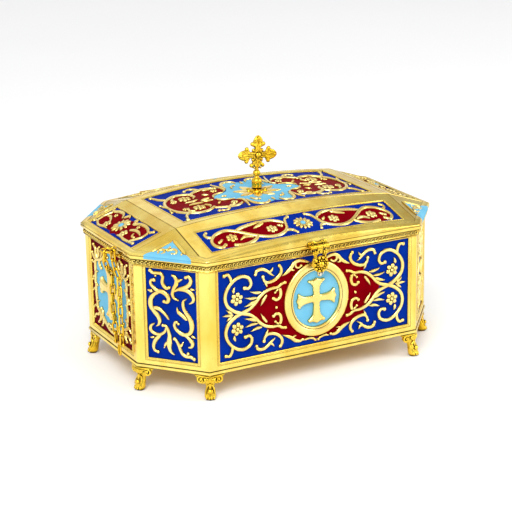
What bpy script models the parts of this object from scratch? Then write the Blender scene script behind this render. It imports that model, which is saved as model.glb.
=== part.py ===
"""Octagonal reliquary casket of gilded brass with a hinged arched lid.

Metres, +Z up, the front faces -Y. The feet stand on z = 0.
Ornament is laid out in millimetres from each panel's centre and scaled to the panel.
"""
import math

import bmesh
import bpy
from mathutils import Matrix, Vector

MM = 0.001

# Body
HALF_LENGTH = 130.0 * MM
HALF_WIDTH = 93.0 * MM
CUT_X = 38.6 * MM
CUT_Y = 46.2 * MM
BODY_HEIGHT = 86.0 * MM
FOOT_HEIGHT = 19.5 * MM
WALL = 3.6 * MM
FLOOR = 2.5 * MM
BASE_LIP = 0.8 * MM
BASE_LIP_HEIGHT = 2.2 * MM
FRIEZE_OUT = 1.2 * MM
FRIEZE_HEIGHT = 4.8 * MM
STEP = 0.6 * MM
PANEL_BOTTOM = 8.0 * MM
PANEL_TOP = BODY_HEIGHT - 6.0 * MM
FRONT_MARGIN = 8.9 * MM
CORNER_MARGIN = 9.3 * MM
END_MARGIN = 8.3 * MM
RECESS = 1.6 * MM
RECESS_SLOPE = 0.7 * MM

# Fits
GAP = 0.3 * MM
PIN_CLEARANCE = 0.05 * MM

# Lid
RIM_OUT = 3.2 * MM
RIM_EDGE = 0.8 * MM
RIM_BAND = 2.7 * MM
MARGIN_IN = 2.5 * MM
LID_RISE = 22.7 * MM
LID_WALL = 2.8 * MM
CROWN_DROP = 5.5 * MM
END_RUN = 36.0 * MM
FRONT_RUN = 47.0 * MM
END_DROP = 12.85 * MM
FRONT_DROP = 13.2 * MM
SEAM_X = HALF_LENGTH - END_RUN
SEAM_Y = HALF_WIDTH - FRONT_RUN
LID_RECESS = 0.9 * MM
CENTRE_PANEL = (SEAM_X - 11.0 * MM, SEAM_Y - 8.0 * MM)
STRIP_PANEL = (SEAM_Y + 11.2 * MM, HALF_WIDTH - 7.0 * MM)
END_PANEL = (SEAM_X + 9.6 * MM, HALF_LENGTH - 2.0 * MM, SEAM_Y - 6.5 * MM)
TRIANGLE_PANEL = (SEAM_X + 7.0 * MM, SEAM_Y + 8.0 * MM)
PANEL_BOW = 3.2 * MM
COLUMNS = 6

# Relief
RELIEF = 1.3 * MM
SINK = 0.45 * MM
LID_RELIEF = 1.1 * MM

# Medallion and crosses
OVAL = (28.2 * MM, 30.0 * MM)
OVAL_BAND = 7.4 * MM
OVAL_HEIGHT = 2.6 * MM
OVAL_SIDES = 16

# Finial
SEAT_RADIUS = 7.0 * MM
SEAT_HEIGHT = 1.9 * MM
SOCKET_RADIUS = 4.2 * MM
SOCKET_HEIGHT = 6.8 * MM
KNOP_RADIUS = 3.4 * MM
CROSS_ARM = 17.6 * MM
CROSS_UP = 16.0 * MM
CROSS_CENTRE = 28.7 * MM
CROSS_THICK = 3.4 * MM
CROSS_LEAN = 4.0
BOSS_PROUD = 1.0 * MM

# Hinges and hasp
BARREL = 1.8 * MM
BARREL_OFF = 0.2 * MM
PIN_RADIUS = 0.8 * MM
HINGE_AT = 52.0 * MM
KNUCKLE = 5.0 * MM
LEAF = 1.1 * MM
LEAF_DROP = 9.0 * MM
LEAF_OFF = 2.4 * MM
WEB = (0.8 * MM, 3.4 * MM)
HASP_HALF = 8.0 * MM
HASP_THICK = 1.8 * MM
ROSETTE_RADIUS = 7.0 * MM
ROSETTE_DROP = 13.4 * MM
ROSETTE_SINK = 0.2 * MM
HASP_LENGTH = 23.6 * MM
SLOT = (4.8 * MM, 2.6 * MM)
SLOT_DROP = 6.6 * MM
STRAP_HALF = 5.6 * MM
TONGUE_HALF = 2.8 * MM
TIP_HALF = 1.9 * MM
MOUNT_RISE = 4.0 * MM
MOUNT_DROP = 1.0 * MM
MOUNT_WEB = (0.7 * MM, 1.2 * MM)
# Share of the rosette's radius and height above the strap
ROSETTE_PROFILE = (
    (0.91, 0.0), (1.0, 1.2 * MM), (0.89, 3.2 * MM), (0.43, 2.6 * MM), (0.34, 4.2 * MM), (0.17, 5.2 * MM),
)

# Ring and chain on the left end
EYE_Y = -25.8 * MM
EYE_OUT = 6.3 * MM
EYE_RADIUS = 1.9 * MM
EYE_WIRE = 0.6 * MM
EYE_STEM = 1.4 * MM
EYE_PAD = 3.0 * MM
RING_RADIUS = 5.2 * MM
RING_WIRE = 0.75 * MM
RING_PLAY = 0.2 * MM
LINK_LENGTH = 10.6 * MM
LINK_WIDTH = 5.2 * MM
LINK_WIRE = 0.8 * MM
LINK_BITE = 0.25 * MM
CHAIN_OUT = 5.4 * MM
STRAND_ANGLES = (225.0, 300.0)
STRAND_SHIFTS = ((7.0 * MM, 8.6 * MM, 4.0 * MM), (-5.6 * MM, -5.6 * MM, -5.8 * MM))
STRAND_HEIGHTS = (0.77 * BODY_HEIGHT, 0.47 * BODY_HEIGHT, 0.11 * BODY_HEIGHT)
EYE_RISE = 2.0 * MM
BAR_HALF = 8.4 * MM
BAR_RADIUS = 1.3 * MM

# Feet
FOOT_TOP_IN = 5.0 * MM
LEG_SIDES = 6
FOOT_WING = 13.5 * MM
FOOT_WING_DROP = 6.5 * MM
FOOT_WING_THICK = 3.0 * MM
FOOT_WING_INSET = 0.3 * MM
# Share of the height, outward lean, half breadth and half depth
FOOT_PROFILE = (
    (1.00, -1.0, 6.6 * MM, 4.6 * MM), (0.78, -0.95, 5.2 * MM, 4.1 * MM),
    (0.52, -0.75, 3.1 * MM, 2.9 * MM), (0.30, -0.35, 4.2 * MM, 3.9 * MM),
    (0.12, -0.18, 4.5 * MM, 4.1 * MM), (0.0, -0.15, 3.5 * MM, 3.0 * MM),
)

BASE_Z = FOOT_HEIGHT
TOP_Z = BASE_Z + BODY_HEIGHT
LID_Z = TOP_Z + GAP
CROWN_Z = LID_Z + LID_RISE

for stale in list(bpy.data.objects):
    bpy.data.objects.remove(stale, do_unlink=True)


def finish(name, mesh, colour, smooth=False):
    """Put a mesh in the scene as one named node with its own material."""
    node = bpy.data.objects.new(name, mesh)
    bpy.context.scene.collection.objects.link(node)
    mesh.name = name
    material = bpy.data.materials.new(name)
    material.use_nodes = True
    shader = material.node_tree.nodes["Principled BSDF"]
    shader.inputs["Base Color"].default_value = colour
    shader.inputs["Metallic"].default_value = 1.0
    shader.inputs["Roughness"].default_value = 0.3
    mesh.materials.clear()
    mesh.materials.append(material)
    for face in mesh.polygons:
        face.use_smooth = smooth
    return node


GOLD = (0.83, 0.60, 0.22, 1.0)
DEEP_GOLD = (0.76, 0.52, 0.14, 1.0)


class Builder:
    """Collects faces and welds the points that they share."""

    def __init__(self):
        self.mesh = bmesh.new()
        self.known = {}

    def point(self, place):
        key = tuple(round(value, 7) for value in place)
        if key not in self.known:
            self.known[key] = self.mesh.verts.new(key)
        return self.known[key]

    def face(self, places):
        corners = []
        for place in places:
            vert = self.point(place)
            if vert not in corners:
                corners.append(vert)
        if len(corners) > 2:
            self.mesh.faces.new(corners)

    def bridge(self, lower, upper, closed=True):
        count = len(lower)
        last = count if closed else count - 1
        for k in range(last):
            j = (k + 1) % count
            self.face([lower[k], lower[j], upper[j], upper[k]])

    def done(self):
        bmesh.ops.recalc_face_normals(self.mesh, faces=self.mesh.faces)
        mesh = bpy.data.meshes.new("built")
        self.mesh.to_mesh(mesh)
        self.mesh.free()
        return mesh


def joined(meshes):
    """One mesh that holds several."""
    pool = bmesh.new()
    for mesh in meshes:
        pool.from_mesh(mesh)
    out = bpy.data.meshes.new("joined")
    pool.to_mesh(out)
    pool.free()
    return out


def combine(base, tool, operation):
    """Boolean of two meshes."""
    target = bpy.data.objects.new("target", base)
    cutter = bpy.data.objects.new("cutter", tool)
    for thing in (target, cutter):
        bpy.context.scene.collection.objects.link(thing)
    cutter.hide_render = True
    cutter.display_type = "WIRE"
    step = target.modifiers.new("step", "BOOLEAN")
    step.operation = operation
    step.solver = "EXACT"
    step.use_self = True
    step.object = cutter
    bpy.context.view_layer.update()
    graph = bpy.context.evaluated_depsgraph_get()
    result = bpy.data.meshes.new_from_object(target.evaluated_get(graph))
    for thing in (target, cutter):
        bpy.data.objects.remove(thing, do_unlink=True)
    clean = bmesh.new()
    clean.from_mesh(result)
    bmesh.ops.remove_doubles(clean, verts=clean.verts, dist=0.00002)
    bmesh.ops.dissolve_degenerate(clean, edges=clean.edges, dist=0.00001)
    clean.to_mesh(result)
    clean.free()
    return result


def octagon(offset):
    """Corners of the plan outline, moved outwards by an offset, counter-clockwise."""
    length = math.hypot(CUT_X, CUT_Y)
    nx, ny = CUT_Y / length, CUT_X / length
    reach = nx * HALF_LENGTH + ny * (HALF_WIDTH - CUT_Y) + offset
    x, y = HALF_LENGTH + offset, HALF_WIDTH + offset
    y1 = (reach - nx * x) / ny
    x1 = (reach - ny * y) / nx
    return [(x, -y1), (x, y1), (x1, y), (-x1, y), (-x, y1), (-x, -y1), (-x1, -y), (x1, -y)]


def sides():
    """Each wall of the octagon: its kind, start, direction, outward normal and length."""
    corners = octagon(0.0)
    kinds = ("end", "corner", "back", "corner", "end", "corner", "front", "corner")
    out = []
    for k in range(8):
        start = Vector(corners[k] + (0.0,))
        run = Vector(corners[(k + 1) % 8] + (0.0,)) - start
        along = run.normalized()
        normal = Vector((along.y, -along.x, 0.0))
        out.append((kinds[k], start, along, normal, run.length))
    return out


MARGIN = {"end": END_MARGIN, "corner": CORNER_MARGIN, "front": FRONT_MARGIN, "back": FRONT_MARGIN}


# Strokes of ornament

def spiral(centre, radii, angles, steps):
    """Points on a curl whose radius changes evenly with its angle."""
    out = []
    for k in range(steps + 1):
        t = k / steps
        r = radii[0] + (radii[1] - radii[0]) * t
        a = math.radians(angles[0] + (angles[1] - angles[0]) * t)
        out.append((centre[0] + r * math.cos(a), centre[1] + r * math.sin(a)))
    return out


def bow(start, end, sag, steps):
    """Points on a shallow curve that stands off its chord to the left by a sag."""
    dx, dy = end[0] - start[0], end[1] - start[1]
    length = math.hypot(dx, dy)
    out = []
    for k in range(steps + 1):
        t = k / steps
        lift = 4.0 * sag * t * (1.0 - t) / length
        out.append((start[0] + dx * t - dy * lift, start[1] + dy * t + dx * lift))
    return out


def ridge(path, width, height, place):
    """A carved stroke with a sharp back that dives into the ground at both ends."""
    build = Builder()
    count = len(path)
    spread = (height + SINK) / height
    rows = []
    for k in range(count):
        if k in (0, count - 1):
            rows.append([place(path[k][0], path[k][1], -0.6 * SINK)] * 3)
            continue
        ax, ay = path[k - 1]
        bx, by = path[k + 1]
        length = math.hypot(bx - ax, by - ay)
        nx, ny = -(by - ay) / length, (bx - ax) / length
        swell = 0.62 + 0.38 * math.sin(math.pi * k / (count - 1))
        half = 0.5 * width * spread * swell
        u, v = path[k]
        rows.append([
            place(u + nx * half, v + ny * half, -SINK),
            place(u, v, height * (0.75 + 0.25 * swell)),
            place(u - nx * half, v - ny * half, -SINK),
        ])
    for k in range(count - 1):
        for j in range(3):
            build.face([rows[k][j], rows[k][(j + 1) % 3], rows[k + 1][(j + 1) % 3], rows[k + 1][j]])
    return build.done()


def stud(centre, radius, height, count, place, turn=0.0, crown=0.55):
    """A low many-sided boss such as a flower or a scroll's bulb."""
    build = Builder()
    low, high = [], []
    for k in range(count):
        a = turn + 2.0 * math.pi * k / count
        c, s = math.cos(a), math.sin(a)
        low.append(place(centre[0] + radius * c, centre[1] + radius * s, -SINK))
        high.append(place(centre[0] + radius * crown * c, centre[1] + radius * crown * s, height))
    build.bridge(low, high)
    build.face(low[::-1])
    build.face(high)
    return build.done()


def plate(outline, height, place):
    """A flat-topped raised shape."""
    build = Builder()
    low = [place(u, v, -SINK) for u, v in outline]
    high = [place(u, v, height) for u, v in outline]
    build.bridge(low, high)
    build.face(low[::-1])
    build.face(high)
    return build.done()


def oval_band(half_u, half_v, band, height, place):
    """The medallion's rounded oval frame."""
    build = Builder()
    shares = ((0.0, -1.0), (0.0, 0.45), (0.3, 1.0), (0.75, 0.8), (1.0, 0.35), (1.0, -1.0))
    rings = []
    for share, level in shares:
        lift = -SINK if level < 0.0 else height * level
        ring = []
        for k in range(OVAL_SIDES):
            a = 2.0 * math.pi * k / OVAL_SIDES
            u = (half_u - band * share) * math.cos(a)
            v = (half_v - band * share) * math.sin(a)
            ring.append(place(u, v, lift))
        rings.append(ring)
    for k in range(len(rings)):
        build.bridge(rings[k], rings[(k + 1) % len(rings)])
    return build.done()


def flared_cross(centre, arm, up, down, waist, flare, height, place):
    """A cross with arms that widen to notched ends; the upright is longer below."""
    outline = []
    for (cx, cy), reach in (((1, 0), arm), ((0, 1), up), ((-1, 0), arm), ((0, -1), down)):
        sx, sy = -cy, cx
        shape = (
            (waist, -waist), (0.62 * reach, -1.15 * waist), (0.9 * reach, -flare),
            (0.95 * reach, -0.35 * flare), (reach, 0.0), (0.95 * reach, 0.35 * flare),
            (0.9 * reach, flare), (0.62 * reach, 1.15 * waist),
        )
        for along, across in shape:
            u = centre[0] + cx * along + sx * across
            v = centre[1] + cy * along + sy * across
            outline.append((u, v))
    return plate(outline, height, place)


def mirrored(path, su, sv):
    return [(u * su, v * sv) for u, v in path]


# Ornament of the long walls, one quarter; the rest is its mirror image

def long_wall_quarter(full):
    main = spiral((-62.4, 23.3), (4.2, 6.3), (-110.0, 95.0), 4)
    main += spiral((-65.2, 14.0), (14.4, 13.2), (118.0, 262.0), 4)
    strokes = [(main, 2.7)]
    if full:
        lozenge = bow((-67.0, 0.4), (-52.5, -8.2), 1.6, 2)
        lozenge += bow((-52.5, -8.2), (-34.0, -16.4), -2.2, 2)[1:]
        strokes += [
            (lozenge, 2.5),
            (bow((-73.5, 24.0), (-79.5, 31.0), 2.4, 2), 2.6),
            (spiral((-36.0, -8.8), (4.9, 4.3), (-75.0, 150.0), 3), 2.2),
            (bow((-44.0, 19.0), (-30.5, 31.5), -5.5, 3), 2.4),
            (bow((-30.5, 23.8), (-11.0, 31.2), 2.6, 3), 2.6),
            (bow((-53.5, 27.5), (-37.0, 25.0), 4.4, 2), 2.6),
        ]
    return strokes


# Ornament of the corner walls, one half; the other is the same turned half round

def corner_wall_half(full):
    trunk = [(-6.8, 17.6)] + spiral((-8.6, 8.2), (9.6, 9.4), (122.0, 232.0), 3)
    trunk += bow((-12.5, -1.0), (-13.4, -10.2), 2.4, 2)
    strokes = [
        (trunk, 3.3),
        (spiral((-7.0, 12.4), (5.8, 4.2), (118.0, -70.0), 3), 2.8),
        (bow((2.6, 19.6), (13.6, 30.8), -3.4, 3), 2.8),
    ]
    if full:
        strokes += [
            (bow((-11.6, 3.8), (-2.2, -3.4), 1.8, 2), 2.8),
            (bow((-10.6, 17.0), (-15.0, 27.0), -3.4, 2), 2.6),
            (bow((-17.4, 33.6), (-7.0, 29.0), 1.8, 2) + bow((-6.8, 26.0), (-1.6, 21.6), -2.0, 2), 2.8),
            (bow((1.2, 31.8), (3.0, 14.6), 3.6, 3), 3.0),
            (bow((7.0, 21.6), (14.6, 11.2), 4.8, 3), 2.8),
        ]
    return strokes


# Ornament of the end walls, the left half; the right is its mirror image

def end_wall_half():
    return [
        (bow((-1.0, 34.0), (-29.5, 20.5), -3.0, 4), 2.4),
        (bow((-29.5, 19.0), (-30.5, 1.0), -2.2, 2), 2.4),
        (bow((-30.5, 1.0), (-29.0, -21.0), -2.2, 2), 2.4),
        (bow((-29.5, -22.0), (-1.5, -33.5), -3.2, 4), 2.4),
        (bow((-26.0, 22.5), (-33.5, 31.5), -2.0, 2), 2.6),
        (bow((-26.0, -24.0), (-33.5, -31.0), 2.0, 2), 2.6),
    ]


def panel_placer(side):
    """Maps panel millimetres and a height above the ground to space, scaled to the panel."""
    kind, start, along, normal, length = side
    nominal = {"end": 77.0, "corner": 41.7, "front": 165.1, "back": 165.1}[kind]
    scale_u = (length - 2.0 * MARGIN[kind]) / nominal
    scale_v = (PANEL_TOP - PANEL_BOTTOM) / 72.0
    centre_z = BASE_Z + 0.5 * (PANEL_TOP + PANEL_BOTTOM)
    middle = start + along * (0.5 * length) + Vector((0.0, 0.0, centre_z))

    def place(u, v, height):
        return middle + along * (u * scale_u) + Vector((0.0, 0.0, v * scale_v)) + normal * (height - RECESS)

    return place


def wall_relief():
    """All carved strokes of the eight walls; the ones at the back are plainer."""
    out = []
    for side in sides():
        kind, start = side[0], side[1]
        place = panel_placer(side)
        if kind in ("front", "back"):
            full = kind == "front"
            for su in (1, -1):
                for sv in (1, -1):
                    for path, width in long_wall_quarter(full):
                        out.append(ridge(mirrored(path, su, sv), width, RELIEF, place))
                    out.append(stud((-68.4 * su, 11.8 * sv), 4.8, RELIEF, 5, place, 0.3))
            out.append(oval_band(OVAL[0] / MM, OVAL[1] / MM, OVAL_BAND / MM, OVAL_HEIGHT, place))
            out.append(flared_cross((0.0, 0.4), 17.6, 16.6, 20.0, 2.9, 6.6, RELIEF, place))
        elif kind == "corner":
            at_front = start.y + side[2].y < 0.0
            for turn in (1, -1):
                for path, width in corner_wall_half(at_front):
                    out.append(ridge(mirrored(path, turn, turn), width, RELIEF, place))
        else:
            for su in (1, -1):
                for path, width in end_wall_half():
                    out.append(ridge(mirrored(path, su, 1), width, RELIEF, place))
            out.append(flared_cross((0.0, 2.6), 19.5, 19.5, 24.6, 3.4, 7.6, RELIEF, place))
    return joined(out)


# Body

def octagon_ring(offset, z):
    return [Vector((x, y, z)) for x, y in octagon(offset)]


def body_shell():
    build = Builder()
    low = BASE_Z + BASE_LIP_HEIGHT + STEP
    high = TOP_Z - FRIEZE_HEIGHT - STEP
    rows = [
        octagon_ring(BASE_LIP, BASE_Z),
        octagon_ring(BASE_LIP, BASE_Z + BASE_LIP_HEIGHT),
        octagon_ring(0.0, low),
    ]
    build.bridge(rows[0], rows[1])
    build.bridge(rows[1], rows[2])
    upper = [
        octagon_ring(0.0, high),
        octagon_ring(FRIEZE_OUT, high + STEP),
        octagon_ring(FRIEZE_OUT, TOP_Z - STEP),
        octagon_ring(FRIEZE_OUT - STEP, TOP_Z),
        octagon_ring(-WALL, TOP_Z),
        octagon_ring(-WALL, BASE_Z + FLOOR),
    ]
    for k in range(len(upper) - 1):
        build.bridge(upper[k], upper[k + 1])
    build.face(upper[-1])
    build.face(rows[0])
    for kind, start, along, normal, length in sides():
        margin = MARGIN[kind]

        def at(u, z, depth):
            return start + along * u + Vector((0.0, 0.0, z)) - normal * depth

        outer = [at(0.0, low, 0.0), at(length, low, 0.0), at(length, high, 0.0), at(0.0, high, 0.0)]
        bounds = [
            (margin, BASE_Z + PANEL_BOTTOM), (length - margin, BASE_Z + PANEL_BOTTOM),
            (length - margin, BASE_Z + PANEL_TOP), (margin, BASE_Z + PANEL_TOP),
        ]
        signs = ((1, 1), (-1, 1), (-1, -1), (1, -1))
        lip = [at(u, z, 0.0) for u, z in bounds]
        ground = [
            at(u + RECESS_SLOPE * su, z + RECESS_SLOPE * sz, RECESS)
            for (u, z), (su, sz) in zip(bounds, signs)
        ]
        build.bridge(outer, lip)
        build.bridge(lip, ground)
        build.face(ground)
    return build.done()


def casket_body():
    mesh = combine(body_shell(), wall_relief(), "UNION")
    return finish("casket_body", mesh, GOLD)


# Lid

def crown(x, y):
    """Height of the lid's arched top."""
    ax, ay = abs(x), abs(y)
    drop = CROWN_DROP * (min(ax, SEAM_X) / SEAM_X) ** 2
    drop += END_DROP * max(0.0, ax - SEAM_X) / END_RUN
    drop += FRONT_DROP * max(0.0, ay - SEAM_Y) / FRONT_RUN
    return CROWN_Z - drop


def lid_ring(offset, height):
    """The plan outline with its long sides split into columns; height is a number or a function."""
    corners = octagon(offset)
    out = []
    for k in range(8):
        x, y = corners[k]
        out.append((x, y))
        if k in (2, 6):
            end = corners[(k + 1) % 8][0]
            for j in range(1, COLUMNS):
                out.append((x + (end - x) * j / COLUMNS, y))
    return [Vector((x, y, height(x, y) if callable(height) else height)) for x, y in out]


def seam_ring(lower):
    """The crossing seams, one point for each point of a lid ring."""
    out = []
    for k in range(8):
        sx = 1 if k in (0, 1, 2, 7) else -1
        sy = 1 if k in (1, 2, 3, 4) else -1
        out.append((SEAM_X * sx, SEAM_Y * sy))
        if k in (2, 6):
            for j in range(1, COLUMNS):
                out.append((SEAM_X * sx * (1.0 - 2.0 * j / COLUMNS), SEAM_Y * sy))
    return [Vector((x, y, crown(x, y) - lower)) for x, y in out]


def lid_shell():
    build = Builder()
    band = LID_Z + RIM_EDGE
    rings = [
        seam_ring(0.0),
        lid_ring(-MARGIN_IN, crown),
        lid_ring(RIM_OUT, band + RIM_BAND),
        lid_ring(RIM_OUT, band),
        lid_ring(RIM_OUT - RIM_EDGE, LID_Z),
        lid_ring(-WALL, LID_Z),
        lid_ring(-WALL - STEP, lambda x, y: crown(x, y) - LID_WALL),
        seam_ring(LID_WALL),
    ]
    for k in range(len(rings) - 1):
        build.bridge(rings[k], rings[k + 1])
    for ring in (rings[0], rings[-1]):
        back = ring[2:3 + COLUMNS]
        front = ring[5 + COLUMNS:6 + 2 * COLUMNS]
        for j in range(COLUMNS):
            build.face([back[j], back[j + 1], front[COLUMNS - 1 - j], front[COLUMNS - j]])
    return build.done()


def recess_cutter(columns):
    """A block whose underside follows the lid's top; columns run across the panel."""
    build = Builder()
    lows, highs = [], []
    for near, far in columns:
        lows.append([Vector((x, y, crown(x, y) - LID_RECESS)) for x, y in (near, far)])
        highs.append([Vector((x, y, CROWN_Z + 2.0 * LID_WALL)) for x, y in (near, far)])
    for k in range(len(columns) - 1):
        build.face([lows[k][0], lows[k][1], lows[k + 1][1], lows[k + 1][0]])
        build.face([highs[k][0], highs[k + 1][0], highs[k + 1][1], highs[k][1]])
        for j in range(2):
            build.face([lows[k][j], lows[k + 1][j], highs[k + 1][j], highs[k][j]])
    for k in (0, -1):
        build.face([lows[k][0], lows[k][1], highs[k][1], highs[k][0]])
    return build.done()


def bowed(x, y):
    """A lid panel's long edge, which stands out in the middle."""
    return y + PANEL_BOW * (1.0 - (x / CENTRE_PANEL[0]) ** 2)


def lid_recesses():
    half, centre_y = CENTRE_PANEL
    near, far = STRIP_PANEL
    stations = [half * (2.0 * k / COLUMNS - 1.0) for k in range(COLUMNS + 1)]
    out = [recess_cutter([((x, -bowed(x, centre_y)), (x, bowed(x, centre_y))) for x in stations])]
    for sy in (1, -1):
        out.append(recess_cutter([((x, sy * bowed(x, near)), (x, sy * bowed(x, far))) for x in stations]))
    for sx in (1, -1):
        x0, x1, y0 = END_PANEL
        out.append(recess_cutter([((sx * x0, -y0), (sx * x0, y0)), ((sx * x1, -y0), (sx * x1, y0))]))
        for sy in (1, -1):
            x0, y0 = TRIANGLE_PANEL
            x1 = octagon(-MARGIN_IN - 2.0 * STEP)[0][0]
            y1 = octagon(-MARGIN_IN - 2.0 * STEP)[2][1]
            reach_x = x1 - (y0 - octagon(-MARGIN_IN)[1][1]) * CUT_X / CUT_Y
            reach_y = y1 - (x0 - octagon(-MARGIN_IN)[2][0]) * CUT_Y / CUT_X
            out.append(recess_cutter([
                ((sx * x0, sy * y0), (sx * x0, sy * reach_y)),
                ((sx * reach_x, sy * y0), (sx * reach_x, sy * y0)),
            ]))
    return joined(out)


NOMINAL_SEAM = (94.0, 46.0)
NOMINAL_EDGE = (130.0, 93.0)


def stretched(value, nominal_seam, nominal_edge, seam, edge):
    """A nominal place in millimetres, moved with the seam and the edge."""
    size = abs(value)
    if size <= nominal_seam:
        place = size * seam / nominal_seam
    else:
        place = seam + (size - nominal_seam) * (edge - seam) / (nominal_edge - nominal_seam)
    return math.copysign(place, value)


def lid_place(u, v, height):
    x = stretched(u, NOMINAL_SEAM[0], NOMINAL_EDGE[0], SEAM_X, HALF_LENGTH)
    y = stretched(v, NOMINAL_SEAM[1], NOMINAL_EDGE[1], SEAM_Y, HALF_WIDTH)
    return Vector((x, y, crown(x, y) - LID_RECESS + height))


def lid_relief():
    out = []
    for sx in (1, -1):
        for sy in (1, -1):
            left = spiral((-63.0, -73.5), (13.0, 10.6), (250.0, 40.0), 4) + [(-50.0, -71.5)]
            right = bow((-50.0, -71.5), (-36.0, -81.0), -0.6, 2)
            right += spiral((-27.5, -74.5), (10.4, 10.4), (245.0, 400.0), 3)
            strokes = [
                (bow((-8.5, -35.5), (-20.0, -9.0), -4.6, 3), 2.8),
                (bow((-20.0, -9.0), (-33.5, 0.0), -2.6, 2), 2.8),
                (bow((-76.5, 0.0), (-58.0, -26.5), 6.6, 4), 2.8),
                (bow((-58.0, -26.5), (-44.0, -20.0), 2.2, 2), 2.8),
                (bow((-44.0, -20.0), (-22.0, -16.0), 6.6, 3), 2.8),
                (bow((-22.0, -16.0), (-31.0, -3.0), 4.6, 2), 2.8),
                (bow((-71.0, -21.0), (-77.5, -33.5), -2.4, 2), 2.8),
                (left, 2.6),
                (right, 2.6),
                (bow((-52.0, -73.0), (-28.0, -64.0), 2.2, 2), 2.8),
                (bow((-40.0, -79.5), (-60.0, -84.0), 2.8, 2), 2.8),
                (bow((-107.5, 0.0), (-107.5, -26.5), 2.6, 3), 2.6),
                (bow((-124.0, 0.0), (-124.5, -27.0), -1.6, 3), 2.6),
            ]
            for path, width in strokes:
                out.append(ridge(mirrored(path, sx, sy), width, LID_RELIEF, lid_place))
            for u, v, radius in ((-57.5, -13.0, 5.0), (-60.5, -74.5, 4.2), (-26.5, -74.5, 4.2)):
                out.append(stud((u * sx, v * sy), radius, LID_RELIEF, 5, lid_place))
        out.append(stud((-115.0 * sx, 0.0), 8.0, LID_RELIEF, 8, lid_place))
    for sy in (1, -1):
        out.append(stud((0.0, -74.5 * sy), 7.4, LID_RELIEF, 8, lid_place))
    for k in range(8):
        a = math.pi * (k + 0.5) / 4.0
        c, s = math.cos(a), math.sin(a)
        petal = bow((5.0 * c, 5.0 * s), (17.0 * c, 15.0 * s), 0.3, 2)
        out.append(ridge(petal, 5.0, 0.8 * LID_RELIEF, lid_place))
    seat = SEAT_RADIUS / MM
    out.append(stud((0.0, 0.0), seat, LID_RECESS + SEAT_HEIGHT, 12, lid_place, 0.0, 0.75))
    return joined(out)


def lid():
    mesh = combine(lid_shell(), lid_recesses(), "DIFFERENCE")
    mesh = combine(mesh, lid_relief(), "UNION")
    return finish("lid", mesh, GOLD)


# Turned and swept pieces

def turned(profile, count):
    """A solid of revolution about +Z from (radius, height) pairs."""
    build = Builder()
    rings = []
    turns = [2.0 * math.pi * k / count for k in range(count)]
    for radius, z in profile:
        rings.append([Vector((radius * math.cos(a), radius * math.sin(a), z)) for a in turns])
    for k in range(len(rings) - 1):
        build.bridge(rings[k], rings[k + 1])
    build.face(rings[0])
    build.face(rings[-1])
    return build.done()


def moved(mesh, matrix):
    mesh.transform(matrix)
    return mesh


def block(low, high):
    build = Builder()
    x0, y0, z0 = low
    x1, y1, z1 = high
    base = [Vector((x, y, z0)) for x, y in ((x0, y0), (x1, y0), (x1, y1), (x0, y1))]
    top = [Vector((p.x, p.y, z1)) for p in base]
    build.bridge(base, top)
    build.face(base)
    build.face(top)
    return build.done()


def prism(outline, low_y, high_y):
    """An outline in X and Z given thickness along Y."""
    build = Builder()
    near = [Vector((x, low_y, z)) for x, z in outline]
    far = [Vector((x, high_y, z)) for x, z in outline]
    build.bridge(near, far)
    build.face(near)
    build.face(far)
    return build.done()


def rod(start, end, radius, count=10):
    """A round bar between two points."""
    axis = Vector(end) - Vector(start)
    turn = axis.to_track_quat("Z", "X").to_matrix().to_4x4()
    return moved(turned([(radius, 0.0), (radius, axis.length)], count), Matrix.Translation(start) @ turn)


def wire_loop(centre, length, width, wire, along, across, around=6, section=4):
    """A closed oval of wire; along and across are unit vectors in its plane."""
    build = Builder()
    end = 0.5 * width - wire
    reach = 0.5 * length - wire - end
    normal = along.cross(across)
    rings = []
    for k in range(around):
        a = 2.0 * math.pi * k / around + 0.5 * math.pi
        radial = along * math.sin(a) + across * math.cos(a)
        middle = centre + radial * end + along * (reach if math.sin(a) > 0.0 else -reach)
        ring = []
        for j in range(section):
            b = 2.0 * math.pi * j / section
            ring.append(middle + (radial * math.cos(b) + normal * math.sin(b)) * wire)
        rings.append(ring)
    for k in range(around):
        build.bridge(rings[k], rings[(k + 1) % around])
    return build.done()


def fused(meshes):
    mesh = meshes[0]
    for other in meshes[1:]:
        mesh = combine(mesh, other, "UNION")
    return mesh


# Finial

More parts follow.
